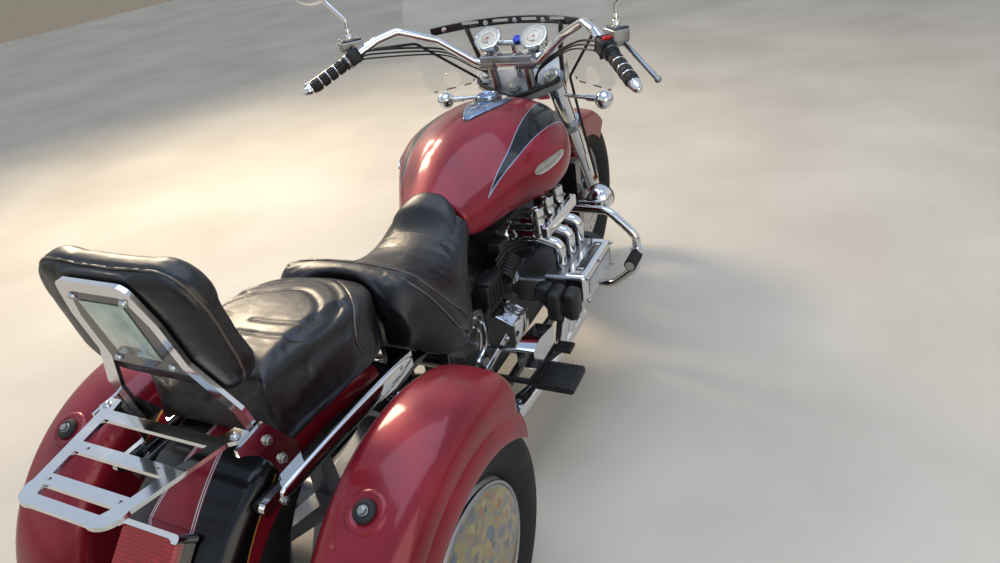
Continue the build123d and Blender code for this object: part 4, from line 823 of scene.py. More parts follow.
# The cover at the nose of the rider's seat rises from the cushion to the rear of the tank.
bm = bmesh.new()
bmesh.ops.create_grid(bm, x_segments=30, y_segments=24, size=1)
NOSE_AHEAD, NOSE_HALF_LONG, NOSE_HALF_WIDE = 594, 58, 100
for v in list(bm.verts):
    u, w = v.co.x, v.co.y
    x = u * NOSE_HALF_WIDE * sqrt(max(0.02, 1 - max(0.0, (w + 0.2) / 1.2) ** 2.4))
    crown = 782 + 39 * w + 10 * cos(pi * w / 2) if w > 0 else 762 + 24 * w + 30 * (1 + w) ** 2
    edge_drop = 14 * max(abs(u), w) ** 8
    up = crown - (22 + 13 * w) * (x / 90) ** 2 - edge_drop
    v.co = at(x, NOSE_AHEAD + NOSE_HALF_LONG * w, up)
relaxed(bm, 5)
faces_up(bm)
bmesh.ops.solidify(bm, geom=list(bm.faces), thickness=0.016)
piece("seat_nose_cover", bm, black_vinyl, "chassis", 60)

RIM_WELT = [(234, 363, 639), (225, 314, 703), (198, 276, 760), (131, 264, 798), (60, 265, 803), (0, 265, 804)]
LOBE_SEAM = [(235, 352, 600), (238, 306, 634), (230, 279, 685), (207, 255, 746), (150, 236, 785)]
LOBE_LEFT = [(-x, y, z) for x, y, z in LOBE_SEAM]
bucket = [(150, 420, 722), (120, 330, 760), (60, 312, 772), (0, 308, 774)]
rider_surface = cushion(
    "rider_seat_cushion",
    "rider_seat",
    7,
    ("pillion_seat", "fuel_tank", "side_covers", "frame", "engine_block"),
    [(mirrored(RIM_WELT), 11, 3.0), (LOBE_SEAM, 9, 2.5), (LOBE_LEFT, 9, 2.5), (mirrored(bucket), 26, 3.5)],
)
sewn("rider_seat_piping", rider_surface, [mirrored(RIM_WELT), LOBE_SEAM, LOBE_LEFT], 2.6)

PILLION_SEAM = [(164, 51, 729), (163, 34, 764), (162, 48, 800)]
PILLION_SEAM += [(142, 84, 824), (84, 134, 819), (30, 180, 808)]
PILLION_LEFT = [(-x, y, z) for x, y, z in PILLION_SEAM]
INNER_CHANNEL = [(0, -43, 843), (65, -39, 842), (110, -26, 842)]
INNER_CHANNEL += [(104, 20, 838), (62, 66, 832), (0, 98, 828)]
OUTER_CHANNEL = [(0, -86, 844), (100, -80, 844), (140, -50, 836)]
OUTER_CHANNEL += [(138, 20, 826), (92, 100, 822), (0, 158, 812)]
RUNG = [(70, -140, 845), (0, -128, 845)]
pillion_surface = cushion(
    "pillion_seat_cushion",
    "pillion_seat",
    8,
    ("rider_seat", "rear_fender", "backrest_pad", "backrest_plate", "sissy_bar", "fender_struts", "frame"),
    [(mirrored(c), w, d) for c, w, d in ((INNER_CHANNEL, 10, 3.4), (OUTER_CHANNEL, 11, 3.8), (RUNG, 9, 2.4))]
    + [(PILLION_SEAM, 9, 2.5), (PILLION_LEFT, 9, 2.5)],
)
sewn("pillion_seat_piping", pillion_surface, [PILLION_SEAM, PILLION_LEFT], 2.4)
bm = bmesh.new()
for channel in (INNER_CHANNEL, OUTER_CHANNEL):
    tube(bm, on_surface(pillion_surface, mirrored(channel), 0.2), 0.9, 6)
piece("pillion_channel_thread", bm, thread, "chassis", 60)

BACK_LEAN = radians(12)
BACK_SIN, BACK_COS = sin(BACK_LEAN), cos(BACK_LEAN)


def pad_point(u, v, off):
    """A point on the leaning back pad: across, up the pad and ahead of the hoop's rear face."""
    return (u, -228 - v * BACK_SIN + off * BACK_COS, 700 + v * BACK_COS + off * BACK_SIN)


PAD_OUTLINE = [(0, 140), (60, 140), (120, 142), (165, 168), (183, 220)]
PAD_OUTLINE += [(183, 324), (165, 378), (120, 402), (60, 404), (0, 404)]
rear_welt = [pad_point(u, v, 30) for u, v in PAD_OUTLINE]
pad_surface = cushion(
    "backrest_cushion",
    "backrest_pad",
    7,
    ("sissy_bar", "backrest_plate", "pillion_seat"),
    [(mirrored(rear_welt), 9, 2.5)],
)
sewn("backrest_piping", pad_surface, [mirrored(rear_welt)], 2.4)

# Rear fender. One pressed steel shell is painted red down its middle round the lamp, with two
# silver pinstripes, black bands over its shoulders and a gold line above the red side walls.
fender_paint, tree, shader, red, across, split = candy("candy_crimson_and_black_two_tone")
middle = {0: split.outputs["Y"], 1: -0.18, 2: 0.037 - 0.18 * (0.300 - AXLE_Y)}
flare = add(tree, "Math", middle, operation="MULTIPLY_ADD")
place = add(tree, "TexCoord").outputs["Object"]
hub = add(tree, "VectorMath", {0: place, 1: at(0, -91, 270)}, operation="SUBTRACT")
hub = add(tree, "VectorMath", {0: hub, 1: (0, 1, 1)}, operation="MULTIPLY")
reach = add(tree, "VectorMath", {0: hub}, operation="LENGTH").outputs["Value"]
line = {0: split.outputs["Y"], 1: 0.214, 2: 0.3996 + 0.214 * (0.229 - AXLE_Y)}
gold_r = add(tree, "Math", line, operation="MULTIPLY_ADD")
over = add(tree, "Math", {0: reach, 1: gold_r}, operation="SUBTRACT")
out = add(tree, "Math", {0: across, 1: flare}, operation="SUBTRACT")
black = add(tree, "Math", {0: over, 1: 0.0}, operation="GREATER_THAN")
black = add(tree, "Math", {0: black, 1: band_mask(tree, out, 0.0085, 0.5)}, operation="MULTIPLY")
outer = add(tree, "Math", {0: across, 1: 0.128}, operation="GREATER_THAN")
gold = add(tree, "Math", {0: band_mask(tree, over, -0.003, 0.0), 1: outer}, operation="MULTIPLY")
pinstripes = [(band_mask(tree, out, low, high), "#C9CDD4") for low, high in ((0.0, 0.002), (0.005, 0.0068))]
layered(tree, shader, red, [(black, "#09090B"), (gold, "#C9A24B"), *pinstripes])
finish_node("rear_fender", fender_paint)

# Outrigger fenders and front fender. Laid-up shells are sprayed to match the tank; each outrigger
# shell hangs on its carrier by a bolt through a rubber washer in a dished seat.
fender_red = candy("candy_crimson_lacquer")[0]
finish_node("outrigger_fenders", fender_red)
finish_node("front_fender", fender_red)
knob_up = Vector((0, -0.48, 0.88)).normalized()
DISH = [(-6, 0), (0.4, 19), (1.6, 26), (2.8, 30), (2.2, 34), (-3, 39), (-6, 36)]
WASHER = [(-2, 0), (0, 20.5), (5, 20), (8, 17), (9, 12), (7, 9), (7, 0)]
for side, tag in SIDES:
    spot = at(side * OUTRIGGER_HUB[0], -261.5, 672)
    turned("fender_dish_" + tag, spot, knob_up, DISH, 48, fender_red, "chassis", 60)
    turned("fender_washer_" + tag, spot, knob_up, WASHER, 40, soft_rubber, "chassis", 40)
    bm = bmesh.new()
    bolt(bm, spot + knob_up * 0.007, knob_up, 13)
    piece("fender_bolt_" + tag, bm, zinc_steel, "chassis", 35)

# Tail lamp. A moulded red lens with a grid of prisms on its face sits in a chrome bezel, under a
# chrome brow. Its red drifts a little with the thickness of the acrylic.
gloss = {"Coat_Weight": 0.5, "Coat_Roughness": 0.05, "Specular_IOR_Level": 0.3}
lens_red, tree, shader = material("moulded_red_acrylic", "#A00C16", 0.16, 0.0, **gloss)
place, patches, bump = worn(tree, shader, 6, 0.03, (0.08, 0.18), 30)
# Prisms 7 mm apart, across the lens and up its leaning face, with dark lines 1.4 mm wide between.
split = add(tree, "SeparateXYZ", {"Vector": place})
PRISM_MM, LINE_MM = 7.0, 1.4
up_lens = add(tree, "VectorMath", {0: place, 1: (0.0, 0.719, 0.695)}, operation="DOT_PRODUCT")
lines = []
for value in (split.outputs["X"], up_lens.outputs["Value"]):
    wave = add(tree, "Math", {0: value, 1: PRISM_MM / 2000}, operation="PINGPONG")
    lines.append(add(tree, "Math", {0: wave, 1: LINE_MM / 2000}, operation="LESS_THAN"))
grid = add(tree, "Math", {0: lines[0], 1: lines[1]}, operation="MAXIMUM")
red_tone = add(tree, "ValToRGB", {"Fac": patches}, stops=[(0.3, "#980B14"), (0.7, "#C0141C")]).outputs[0]
layered(tree, shader, red_tone, [(grid, "#78090F")])
deep = add(tree, "Bump", {"Height": grid, "Distance": 0.0012, "Strength": 0.8, "Normal": bump})
tree.links.new(deep.outputs[0], shader.inputs["Normal"])
finish_node("tail_lamp", lens_red)

# Backrest plate and struts. A black lacquered steel plate fills the hoop under domed nuts, with a
# bare pale green reflector panel on its rear. Bolts and a chromed half-round moulding dress each strut.
reflector = plain_finish(
    "pale_green_reflective_sheet", "#9DB8AE", 0.2, 0.0, (3, 0.08, (0.12, 0.3), 40),
    [(0.3, "#7F998F"), (0.7, "#BCD0C4")], Coat_Weight=0.8
)
finish_node("backrest_plate", black_enamel)
lean = Matrix.Rotation(BACK_LEAN, 3, "X")
back_normal = Vector((0, -BACK_COS, -BACK_SIN))
bm = bmesh.new()
rounded_block(bm, at(*pad_point(0, 286, -1.2)), (96, 2.4, 118), 1.0, lean)
piece("reflector_panel", bm, reflector, "chassis", 35)
bm = bmesh.new()
for u, v in ((62, 214), (-62, 214), (56, 352), (-56, 352)):
    spot = at(*pad_point(u, v, -0.2))
    spun(bm, spot, back_normal, [(0, 7.5), (1.2, 7.5), (1.6, 6.2), (4, 5.4), (6.2, 3.2), (6.8, 0)], 20)
piece("backrest_nuts", bm, badge_silver, "chassis", 40)
bm = bmesh.new()
for side in (1, -1):
    for ahead, up in ((-241, 757), (-225, 703)):
        bolt(bm, at(side * 170.3, ahead, up), (side, 0, 0), 13)
    for ahead, up in ((-259, 640), (120, 646)):
        bolt(bm, at(side * 182, ahead, up), (side, 0, 0), 11)
piece("strut_bolts", bm, zinc_steel, "chassis", 35)
bm = bmesh.new()
spear = [(0, 0), (4, 8), (12, 12), (60, 15), (160, 18), (260, 20), (340, 20), (390, 15), (425, 7), (440, 0)]
for side in (1, -1):
    made = bmesh.new()
    spun(made, Vector((0, 0, 0)), (0, 440, -16), spear, 24)
    bmesh.ops.scale(made, vec=(0.42, 1, 1), verts=made.verts)
    bmesh.ops.translate(made, vec=at(side * 183, -264, 654), verts=made.verts)
    poured(bm, made)
piece("strut_mouldings", bm, chrome, "chassis", 60)
bm = bmesh.new()
for x in (150, -150):
    spun(bm, at(x, -280, 794), (0, 0, 1), [(0, 8), (1.5, 8), (2, 6.4), (4.4, 5.4), (6, 3), (6.4, 0)], 20)
piece("rack_nuts", bm, badge_silver, "chassis", 40)

# Handlebar grips. A ribbed rubber sleeve carries raised rectangular pads with chrome bands between
# them, and a turned chrome bullet screws into the end of the bar.
GRIP_TIP, GRIP_ROOT = (500, 880, 1030), (350, 1050, 1128)


def bar_axes(side):
    """A grip's tip, its direction outward, the level direction ahead of it, and its reservoir's foot."""
    tip = at(side * GRIP_TIP[0], *GRIP_TIP[1:])
    out = (tip - at(side * GRIP_ROOT[0], *GRIP_ROOT[1:])).normalized()
    fore = Vector((-out.y * side, abs(out.x), 0)).normalized()
    return tip, out, fore, tip - out * 0.164 + fore * 0.030


def along_axis(axis, out=Vector((0, 0, 1))):
    """A turn whose Z follows an axis and whose X stays near a given direction."""
    z = axis.normalized()
    x = (out - z * out.dot(z)).normalized()
    return Matrix((x, z.cross(x), z)).transposed()


for side, tag in SIDES:
    tip, out, fore, _ = bar_axes(side)
    bm = bmesh.new()
    sleeve = [(-3, 13), (-3, 16), (0, 17), (122, 17), (124, 21), (129, 21), (131, 19), (132, 13)]
    spun(bm, tip, -out, sleeve, 32)
    for row in range(4):
        for turn in range(6):
            facing = along_axis(out, fore) @ Matrix.Rotation(pi * turn / 3, 3, "Z")
            spot = tip - out * (0.018 + row * 0.029) + facing @ Vector((0.0172, 0, 0))
            rounded_block(bm, spot, (3.4, 13, 20), 1.0, facing, 1)
    piece("grip_sleeve_" + tag, bm, soft_rubber, "steering", 35, replaces=["grips"])
    bm = bmesh.new()
    for row in range(3):
        spun(bm, tip - out * (0.0325 + row * 0.029), out, arc((-2.2, 16), (0, 18.6), (2.2, 16), 6), 32)
    bullet = [(0, 12.5), (0, 16.4), (5, 16.6), (7, 15), (9, 15.6), (24, 12), (32, 8), (35, 4), (35.5, 0)]
    spun(bm, tip, out, bullet, 32)
    piece("grip_bands_" + tag, bm, chrome, "steering", 35)

# Switch housings and reservoirs. Each housing is a die-cast box clamped on the bar; its
# switches are moulded, the cap of the reservoir is screwed on, and a red stop switch is at the right.
blue_gloss = plain_finish(
    "dark_blue_glossy_resin", "#10172A", 0.12, 0.0, (4, 0.04, (0.08, 0.2), 25), Coat_Weight=0.8
)
stop_red = plain_finish("moulded_red_nylon", "#C01A1E", 0.4, 0.0, (1.5, 0.15, (0.32, 0.5), 12))
for side, tag in SIDES:
    tip, out, fore, reservoir = bar_axes(side)
    over = Vector((0, 0, 1))
    level = along_axis(over, Vector((out.x, out.y, 0)))
    bm = bmesh.new()
    brim = reservoir + over * 0.044
    rounded_block(bm, brim + over * 0.002, (64, 44, 6), 2.0, level)
    rounded_block(bm, brim + over * 0.0052, (50, 30, 2), 0.9, level)
    piece("reservoir_cap_" + tag, bm, blue_gloss, "steering", 35)
    bm = bmesh.new()
    for u in (-26, 26):
        for w in (-16, 16):
            spot = brim + level @ Vector((u / 1000, w / 1000, 0.005))
            spun(bm, spot, over, [(0, 3.6), (1.6, 3.4), (2.2, 2.2), (1.2, 1.6), (1.2, 0)], 12)
    piece("reservoir_screws_" + tag, bm, zinc_steel, "steering", 35)
    bm = bmesh.new()
    box = tip - out * 0.157 - fore * 0.006 + over * 0.006
    twist = along_axis(out, over)
    rounded_block(bm, box, (44, 42, 40), 6, twist, 3)
    for w in (-1, 1):
        rounded_block(bm, box + twist @ Vector((0.0, 0.0, w * 0.0185)), (46.5, 44.5, 3), 1.2, twist)
    piece("switch_box_" + tag, bm, dark_alloy, "steering", 35)
    bm = bmesh.new()
    for u in (-1, 1) if side > 0 else (-1, 0, 1):
        for w in (-1, 1):
            spot = box + twist @ Vector((0.0225, w * 0.009 - 0.001, u * 0.0115))
            rounded_block(bm, spot, (5, 11, 8), 1.4, twist)
    piece("switch_buttons_" + tag, bm, black_nylon, "steering", 35)
    if side > 0:
        bm = bmesh.new()
        rounded_block(bm, box + twist @ Vector((0.0245, 0.0, 0.0)), (9, 24, 11), 2.4, twist)
        rounded_block(bm, box + twist @ Vector((0.029, 0.004, 0.0)), (4, 8, 9), 1.4, twist)
        piece("stop_switch", bm, stop_red, "steering", 35)

# Clamps, stem and fork tops. Cast clamps hold the bar with four socket bolts each; the stem nut
# and the fork caps are turned, plated steel.
fork_up = Vector((0, -0.5344, 0.8453))
bm = bmesh.new()
SOCKET_HEAD = [(0, 6.5), (4, 6.5), (5, 5.6), (5, 3.2), (1.5, 3.0), (1.5, 0)]
for x in (-72, -34, 34, 72):
    for ahead in (1221, 1249):
        spun(bm, at(x, ahead, 1029.5), (0, 0, 1), SOCKET_HEAD, 16)
bolt(bm, at(0, 1257, 921), fork_up, 27)
for x in (-115, 115):
    bolt(bm, at(x, 1302, 946), fork_up, 20)
    spun(bm, at(x, 1302, 946), fork_up, [(-6, 24), (0.5, 24.5), (2.5, 23), (3, 19), (1, 16), (1, 0)], 32)
piece("clamp_bolts_and_fork_caps", bm, zinc_steel, "steering", 35)

# Control cables and the bridge's edging. Black sheathed cables leave each switch box, run below the
# bar and drop ahead of its risers; a black rubber edging guards the rear of the upper bridge.
bm = bmesh.new()
for side in (1, -1):
    tip, out, fore, _ = bar_axes(side)
    start = tip - out * 0.186 - fore * 0.004
    for n, radius in ((0, 3.6), (1, 3.0), (2, 2.6)):
        drop = Vector((0, -0.006 - 0.007 * n, -0.012 - 0.006 * n))
        run = [
            start + drop,
            start - out * 0.050 + drop * 1.6,
            at(side * (232 - 6 * n), 1212 - 5 * n, 1062 - 9 * n),
            at(side * (138 - 5 * n), 1240 - 4 * n, 1014 - 9 * n),
            at(side * (84 - 5 * n), 1272, 966 - 8 * n),
            at(side * (62 - 6 * n), 1290, 905),
        ]
        tube(bm, smooth_line(run, 8), radius)
piece("control_cables", bm, soft_rubber, "steering", 50)
bm = bmesh.new()
edging = [(143, 1296, 938), (126, 1272, 925), (40, 1236, 903)]
edging = [(-x, y, z) for x, y, z in edging] + [(0, 1224, 896)] + edging[::-1]
tube(bm, [at(*p) for p in edging], 7.5, 12)
piece("bridge_edging", bm, soft_rubber, "steering", 50)

# Gauges. Two round faces in chrome shells: a cream printed card with plain graduation marks and a
# red needle, under a domed clear lens in a chrome bezel. A blue anodised lock stands between them.
dial_cream = plain_finish(
    "cream_printed_card", "#E9E4D2", 0.55, 0.0, (3, 0.03, (0.45, 0.6), 30),
    [(0.3, "#E1DAC4"), (0.7, "#F0ECDD")]
)
dial_ink = plain_finish("matt_dark_ink", "#26242A", 0.6, 0.0, (1, 0.02, (0.5, 0.7), 10))
needle_red = plain_finish("painted_red_needle", "#B23A2E", 0.45, 0.0, (1, 0.02, (0.35, 0.5), 10))
lens_clear = plain_finish(
    "polished_clear_lens", "#F4F7F8", 0.04, 0.0, (5, 0.02, (0.02, 0.08), 20), Alpha=0.16, Coat_Weight=1.0
)
blue_anodised = plain_finish(
    "blue_violet_anodised_aluminium", "#4A55B8", 0.25, 1.0, (2, 0.05, (0.2, 0.35), 12)
)
dial_up = Vector((0, -0.62, 0.785)).normalized()
dial_turn = along_axis(dial_up, Vector((1, 0, 0)))
BEZEL = [(-1, 45.5), (2.5, 45.5), (5, 43.5), (5.5, 41), (3.5, 38.6), (1.0, 38.2), (-1, 38.2)]
CARD = [(0.3, 38.4), (0.9, 38.0), (1.1, 20), (1.1, 0)]
MARKS, FIRST_MARK, DIAL_SWEEP, NEEDLE_AT = 32, 225, 270, 215
for side, tag in SIDES:
    face = at(side * 80, 1272, 1074)
    turned("gauge_bezel_" + tag, face, dial_up, BEZEL, 56, chrome, "steering", 35)
    turned("gauge_card_" + tag, face, dial_up, CARD, 56, dial_cream, "steering", 60)
    bm = bmesh.new()
    for i in range(MARKS + 1):
        angle = radians(FIRST_MARK - DIAL_SWEEP * i / MARKS)
        long, wide = (7, 1.5) if i % 4 == 0 else (3.6, 0.9)
        way = Vector((cos(angle), sin(angle), 0))
        spot = face + dial_turn @ (way * (35 - long / 2) / 1000 + Vector((0, 0, 0.0015)))
        rounded_block(bm, spot, (long, wide, 0.5), 0.15, dial_turn @ Matrix.Rotation(angle, 3, "Z"), 1)
    spun(bm, face + dial_up * 0.0012, dial_up, [(0, 22), (0.4, 21.6), (0.4, 20.6), (0, 20.2)], 40)
    rounded_block(bm, face + dial_turn @ Vector((0, -0.017, 0.0016)), (16, 6, 0.8), 0.3, dial_turn, 1)
    piece("gauge_marks_" + tag, bm, dial_ink, "steering", 35)
    bm = bmesh.new()
    turn = dial_turn @ Matrix.Rotation(radians(NEEDLE_AT), 3, "Z")
    rounded_block(bm, face + turn @ Vector((0.011, 0, 0.0032)), (30, 1.6, 0.8), 0.3, turn, 1)
    spun(bm, face + dial_up * 0.0012, dial_up, [(0, 5), (2.4, 4.6), (3.2, 3), (3.2, 0)], 20)
    piece("gauge_needle_" + tag, bm, needle_red, "steering", 35)
    dome = arc((4.2, 38.4), (5.7, 20), (6.2, 0), 10)
    turned("gauge_lens_" + tag, face, dial_up, dome, 48, lens_clear, "steering", 60)
bm = bmesh.new()
lock = at(20, 1286, 1056)
spun(bm, lock, dial_up, [(4, 14), (16, 14), (18, 12.5), (18, 9), (16.5, 8), (16.5, 0)], 28)
rounded_block(bm, lock + dial_up * 0.017, (3, 12, 2), 0.6, dial_turn)
piece("ignition_lock", bm, blue_anodised, "steering", 35)

# Headlamp, signals and mirrors. Pressed shells are chromed over polished steel; clear and amber
# moulded lenses close them, and the mirrors are silvered glass in cast chrome heads.
amber = plain_finish(
    "moulded_amber_acrylic", "#D9761B", 0.14, 0.0, (3, 0.3, (0.1, 0.22), 20), Coat_Weight=0.7
)
mirror_glass = plain_finish("silvered_glass", "#E4E8EA", 0.02, 1.0, (8, 0.01, (0.01, 0.05), 40))
HEADLAMP_AHEAD, HEADLAMP_UP = 1452, 905
COLLAR = [(0, 0), (0, 12), (3, 12), (4, 10), (18, 9), (20, 7.4), (34, 7), (36, 6), (36, 0)]
headlamp = at(0, HEADLAMP_AHEAD, HEADLAMP_UP)
dome = arc((74, 89), (77, 50), (78, 0), 12)
turned("headlamp_lens", headlamp, (0, 1, 0), dome, 56, lens_clear, "steering", 60)
bm = bmesh.new()
spun(bm, headlamp, (0, 1, 0), [(58, 96.5), (70, 97), (76, 94), (77, 90), (73, 87), (68, 92)], 64)
for way in (-1, 1):
    spot = at(way * 58, HEADLAMP_AHEAD, HEADLAMP_UP)
    spun(bm, spot, (way, 0, 0), [(37, 7), (39, 7), (40, 6), (40, 0)], 16)
piece("headlamp_rim", bm, chrome, "steering", 35)
for side, tag in SIDES:
    ball = at(side * 287, 1300, 864)
    dome, lip = arc((18, 23.6), (26, 14.6), (30, 0), 8), arc((13, 26.8), (17, 26), (20.5, 22.8), 5)
    turned("signal_lens_" + tag, ball, (0, 1, 0), dome, 36, amber, "steering", 60)
    turned("signal_rim_" + tag, ball, (0, 1, 0), lip, 36, chrome, "steering", 40)
    base = bar_axes(side)[3] + Vector((0, 0, 0.0443))
    back = Vector((0, -1, 0.08)).normalized()
    centre = base + Vector((side * 0.080, -0.022, 0.160))
    bm = bmesh.new()
    spun(bm, Vector((0, 0, 0)), (0, 0, 1), [(-0.8, 41), (0.5, 41.4), (0.9, 40.6), (1.1, 20), (1.1, 0)], 64)
    bmesh.ops.scale(bm, vec=(1.6, 1, 1), verts=bm.verts)
    move = Matrix.Translation(centre + back * 0.020) @ along_axis(back, Vector((1, 0, 0))).to_4x4()
    bmesh.ops.transform(bm, matrix=move, verts=bm.verts)
    piece("mirror_glass_" + tag, bm, mirror_glass, "steering", 60)
    turned("mirror_collar_" + tag, base, (0, 0, 1), COLLAR, 24, chrome, "steering", 35)

# Windshield. A clear acrylic sheet, heat-formed and polished, is screwed to a slotted black enamelled
# strip. Clear rims edge its two holes, and short black beads edge the foot of its lobes.
acrylic = plain_finish(
    "heat_formed_clear_acrylic", "#E3EAEC", 0.05, 0.0, (30, 0.03, (0.03, 0.09), 150),
    Alpha=0.17, Coat_Weight=1.0, IOR=1.49
)
finish_node("windshield", acrylic)
SCREEN_FOOT, SCREEN_UP = at(0, 1377, 900), Vector((0, -0.2079, 0.9781))
SCREEN_AHEAD = Vector((0, 0.9781, 0.2079))
SCREEN_BEND, HOLE_ACROSS, HOLE_UP, HOLE_R = 600, 251, 50, 29


def screen_point(x, up, off):
    """A point on the bent screen: mm across and up from its foot, and ahead of its front face."""
    back = SCREEN_BEND - sqrt(SCREEN_BEND**2 - x * x)
    return SCREEN_FOOT + (Vector((x, 0, 0)) + SCREEN_UP * up + SCREEN_AHEAD * (off - back)) / 1000


bm = bmesh.new()
for x in (-235, -100, 0, 100, 235):
    inward = -SCREEN_AHEAD + Vector((-x / SCREEN_BEND, 0, 0))
    spot = screen_point(x, 224, -9.2)
    spun(bm, spot, inward, [(0, 8.5), (1.6, 8.4), (2.4, 6), (4.5, 5.2), (5.4, 3.4), (5.8, 0)], 20)
piece("screen_nuts", bm, badge_silver, "steering", 40)
rims, dashes = bmesh.new(), bmesh.new()
round_hole = [(HOLE_R * cos(2 * pi * i / 32), HOLE_R * sin(2 * pi * i / 32)) for i in range(33)]
for side in (1, -1):
    tube(rims, [screen_point(side * HOLE_ACROSS + x, HOLE_UP + up, -2) for x, up in round_hole], 1.5, 8)
    lower = [(184, 36), (196, 22), (250, 18), (305, 17), (324, 22)]
    line = smooth_line([Vector((side * x, up, 0)) for x, up in lower], 6)
    for start in range(0, len(line) - 4, 6):
        tube(dashes, [screen_point(p.x, p.y, -2) for p in line[start : start + 4]], 2.2)
piece("screen_hole_rims", rims, acrylic, "steering", 50)
piece("screen_edge_bead", dashes, soft_rubber, "steering", 50)
finish_node("windshield_bracket", black_enamel)

# Engine trim. Chromed cast covers close the heads; a black enamelled panel with polished ribs
# is let into each, flanged bolts hold it down, and rubber boots carry the plug leads.


def routed(bm, side, points, radius_mm, per_run=8, sides=8):
    """A tube along a smooth route, given in mm on the right side and mirrored for the left one."""
    line = [at(side * x, ahead, up) for x, ahead, up in points]
    tube(bm, smooth_line(line, per_run), radius_mm, sides)


ribs, bolts, panels, leads = bmesh.new(), bmesh.new(), bmesh.new(), bmesh.new()
CYLINDERS = (1005, 925, 845)
for side in (1, -1):
    rounded_block(panels, at(side * 332, 927, 500.5), (26, 182, 2.4), 1.0)
    rounded_block(panels, at(side * 361.6, 927, 456), (2.4, 206, 44), 1.0)
    for i in range(5):
        rounded_block(ribs, at(side * 362.6, 927, 440 + 8 * i), (2.6, 200, 3), 1.0, None, 1)
    for ahead in (848, 1006):
        rounded_block(ribs, at(side * 332, ahead, 502), (18, 12, 2.4), 0.8)
    for ahead in (812, 927, 1042):
        for up in (419, 492):
            bolt(bolts, at(side * 361.8, ahead, up), (side, 0, 0), 9)
    for y in CYLINDERS:
        rod_between(leads, at(side * 272, y, 496), at(side * 266, y, 528), 11, 7.5, 20, 2)
        run = [(264, y, 526), (254, y + 2, 566), (222, y + 10, 590), (170, y + 14, 578), (118, y + 12, 586)]
        routed(leads, side, run, 4.2)
piece("valve_cover_panels", panels, black_enamel, "chassis", 35)
piece("valve_cover_ribs", ribs, chrome, "chassis", 35)
piece("valve_cover_bolts", bolts, zinc_steel, "chassis", 35)
piece("plug_leads", leads, soft_rubber, "chassis", 50)

# Intake fittings. Steel band clamps pinch the rubber joints of each runner, and a dished bright cap
# closes the top of each; the side rail has a bolt between each pair.
bands, caps = bmesh.new(), bmesh.new()
BAND = [(-4, 19.2), (-4, 20.6), (4, 20.6), (4, 19.2)]
CAP = [(-2, 19.4), (1.5, 20), (3.5, 18.4), (3.5, 13), (1.2, 11.5), (1.2, 5), (3.0, 4), (3.0, 0)]
for side in (1, -1):
    for y in CYLINDERS:
        foot, head = at(side * 218, y + 2, 600), at(side * 211, y + 8, 682)
        axis = (head - foot).normalized()
        for d in (0.010, 0.060):
            spun(bands, foot + axis * d, axis, BAND, 32)
            rounded_block(bands, foot + axis * d + Vector((side * 0.022, 0, 0)), (7, 12, 8), 1.2)
        spun(caps, head, axis, CAP, 36)
    for y in (870, 965, 1045):
        bolt(caps, at(side * 244, y, 640.2), (0, 0, 1), 9)
piece("runner_band_clamps", bands, zinc_steel, "chassis", 35)
piece("runner_caps", caps, badge_silver, "chassis", 35)

# Hoses, boxes and wiring under the tank. Moulded covers close the rear of each head, ribbed rubber
# bellows feed the air box, a moulded relay box sits behind that, and its looms are wrapped in tape.
hoses, boxes, looms = bmesh.new(), bmesh.new(), bmesh.new()
HEAD_BOXES = [(292, 742, 446, (44, 74, 96)), (334, 752, 444, (46, 62, 88)), (250, 756, 470, (48, 54, 54))]
for side in (1, -1):
    for x, ahead, up, size in HEAD_BOXES:
        rounded_block(boxes, at(side * x, ahead, up), size, 17, None, 5)
        spot = at(side * x, ahead, up - size[2] / 2 + 4)
        spun(hoses, spot, (0, 0, 1), arc((-12, 13), (-3, 18), (4, 13), 6), 24)
    for i in range(7):
        spot = at(side * (150 + 1.5 * i), 768 - 11 * i, 560 - 4 * i)
        spun(hoses, spot, (0, -0.94, -0.34), arc((-5, 21), (0, 26), (5, 21), 6), 28)
    rounded_block(boxes, at(side * 133, 640, 520), (50, 96, 84), 7, None, 3)
    rounded_block(boxes, at(side * 137, 640, 566), (46, 90, 12), 4)
    for i in range(4):
        rounded_block(boxes, at(side * 159.5, 608 + 21 * i, 520), (3, 9, 60), 1.2)
    rounded_block(boxes, at(side * 130, 745, 614), (40, 60, 34), 5, None, 3)
    for dz, r in ((0, 5.5), (14, 4.0), (-15, 3.2)):
        run = [(140, 694, 575), (150, 740, 596), (146, 800, 580), (152, 870, 566), (128, 960, 560)]
        routed(looms, side, [(x, ahead, up + dz) for x, ahead, up in run], r)
    routed(looms, side, [(150, 600, 500), (158, 560, 470), (150, 540, 420), (148, 545, 360)], 6)
piece("ribbed_bellows", hoses, soft_rubber, "chassis", 50)
piece("relay_boxes", boxes, black_nylon, "chassis", 35)
piece("wiring_looms", looms, soft_rubber, "chassis", 50)

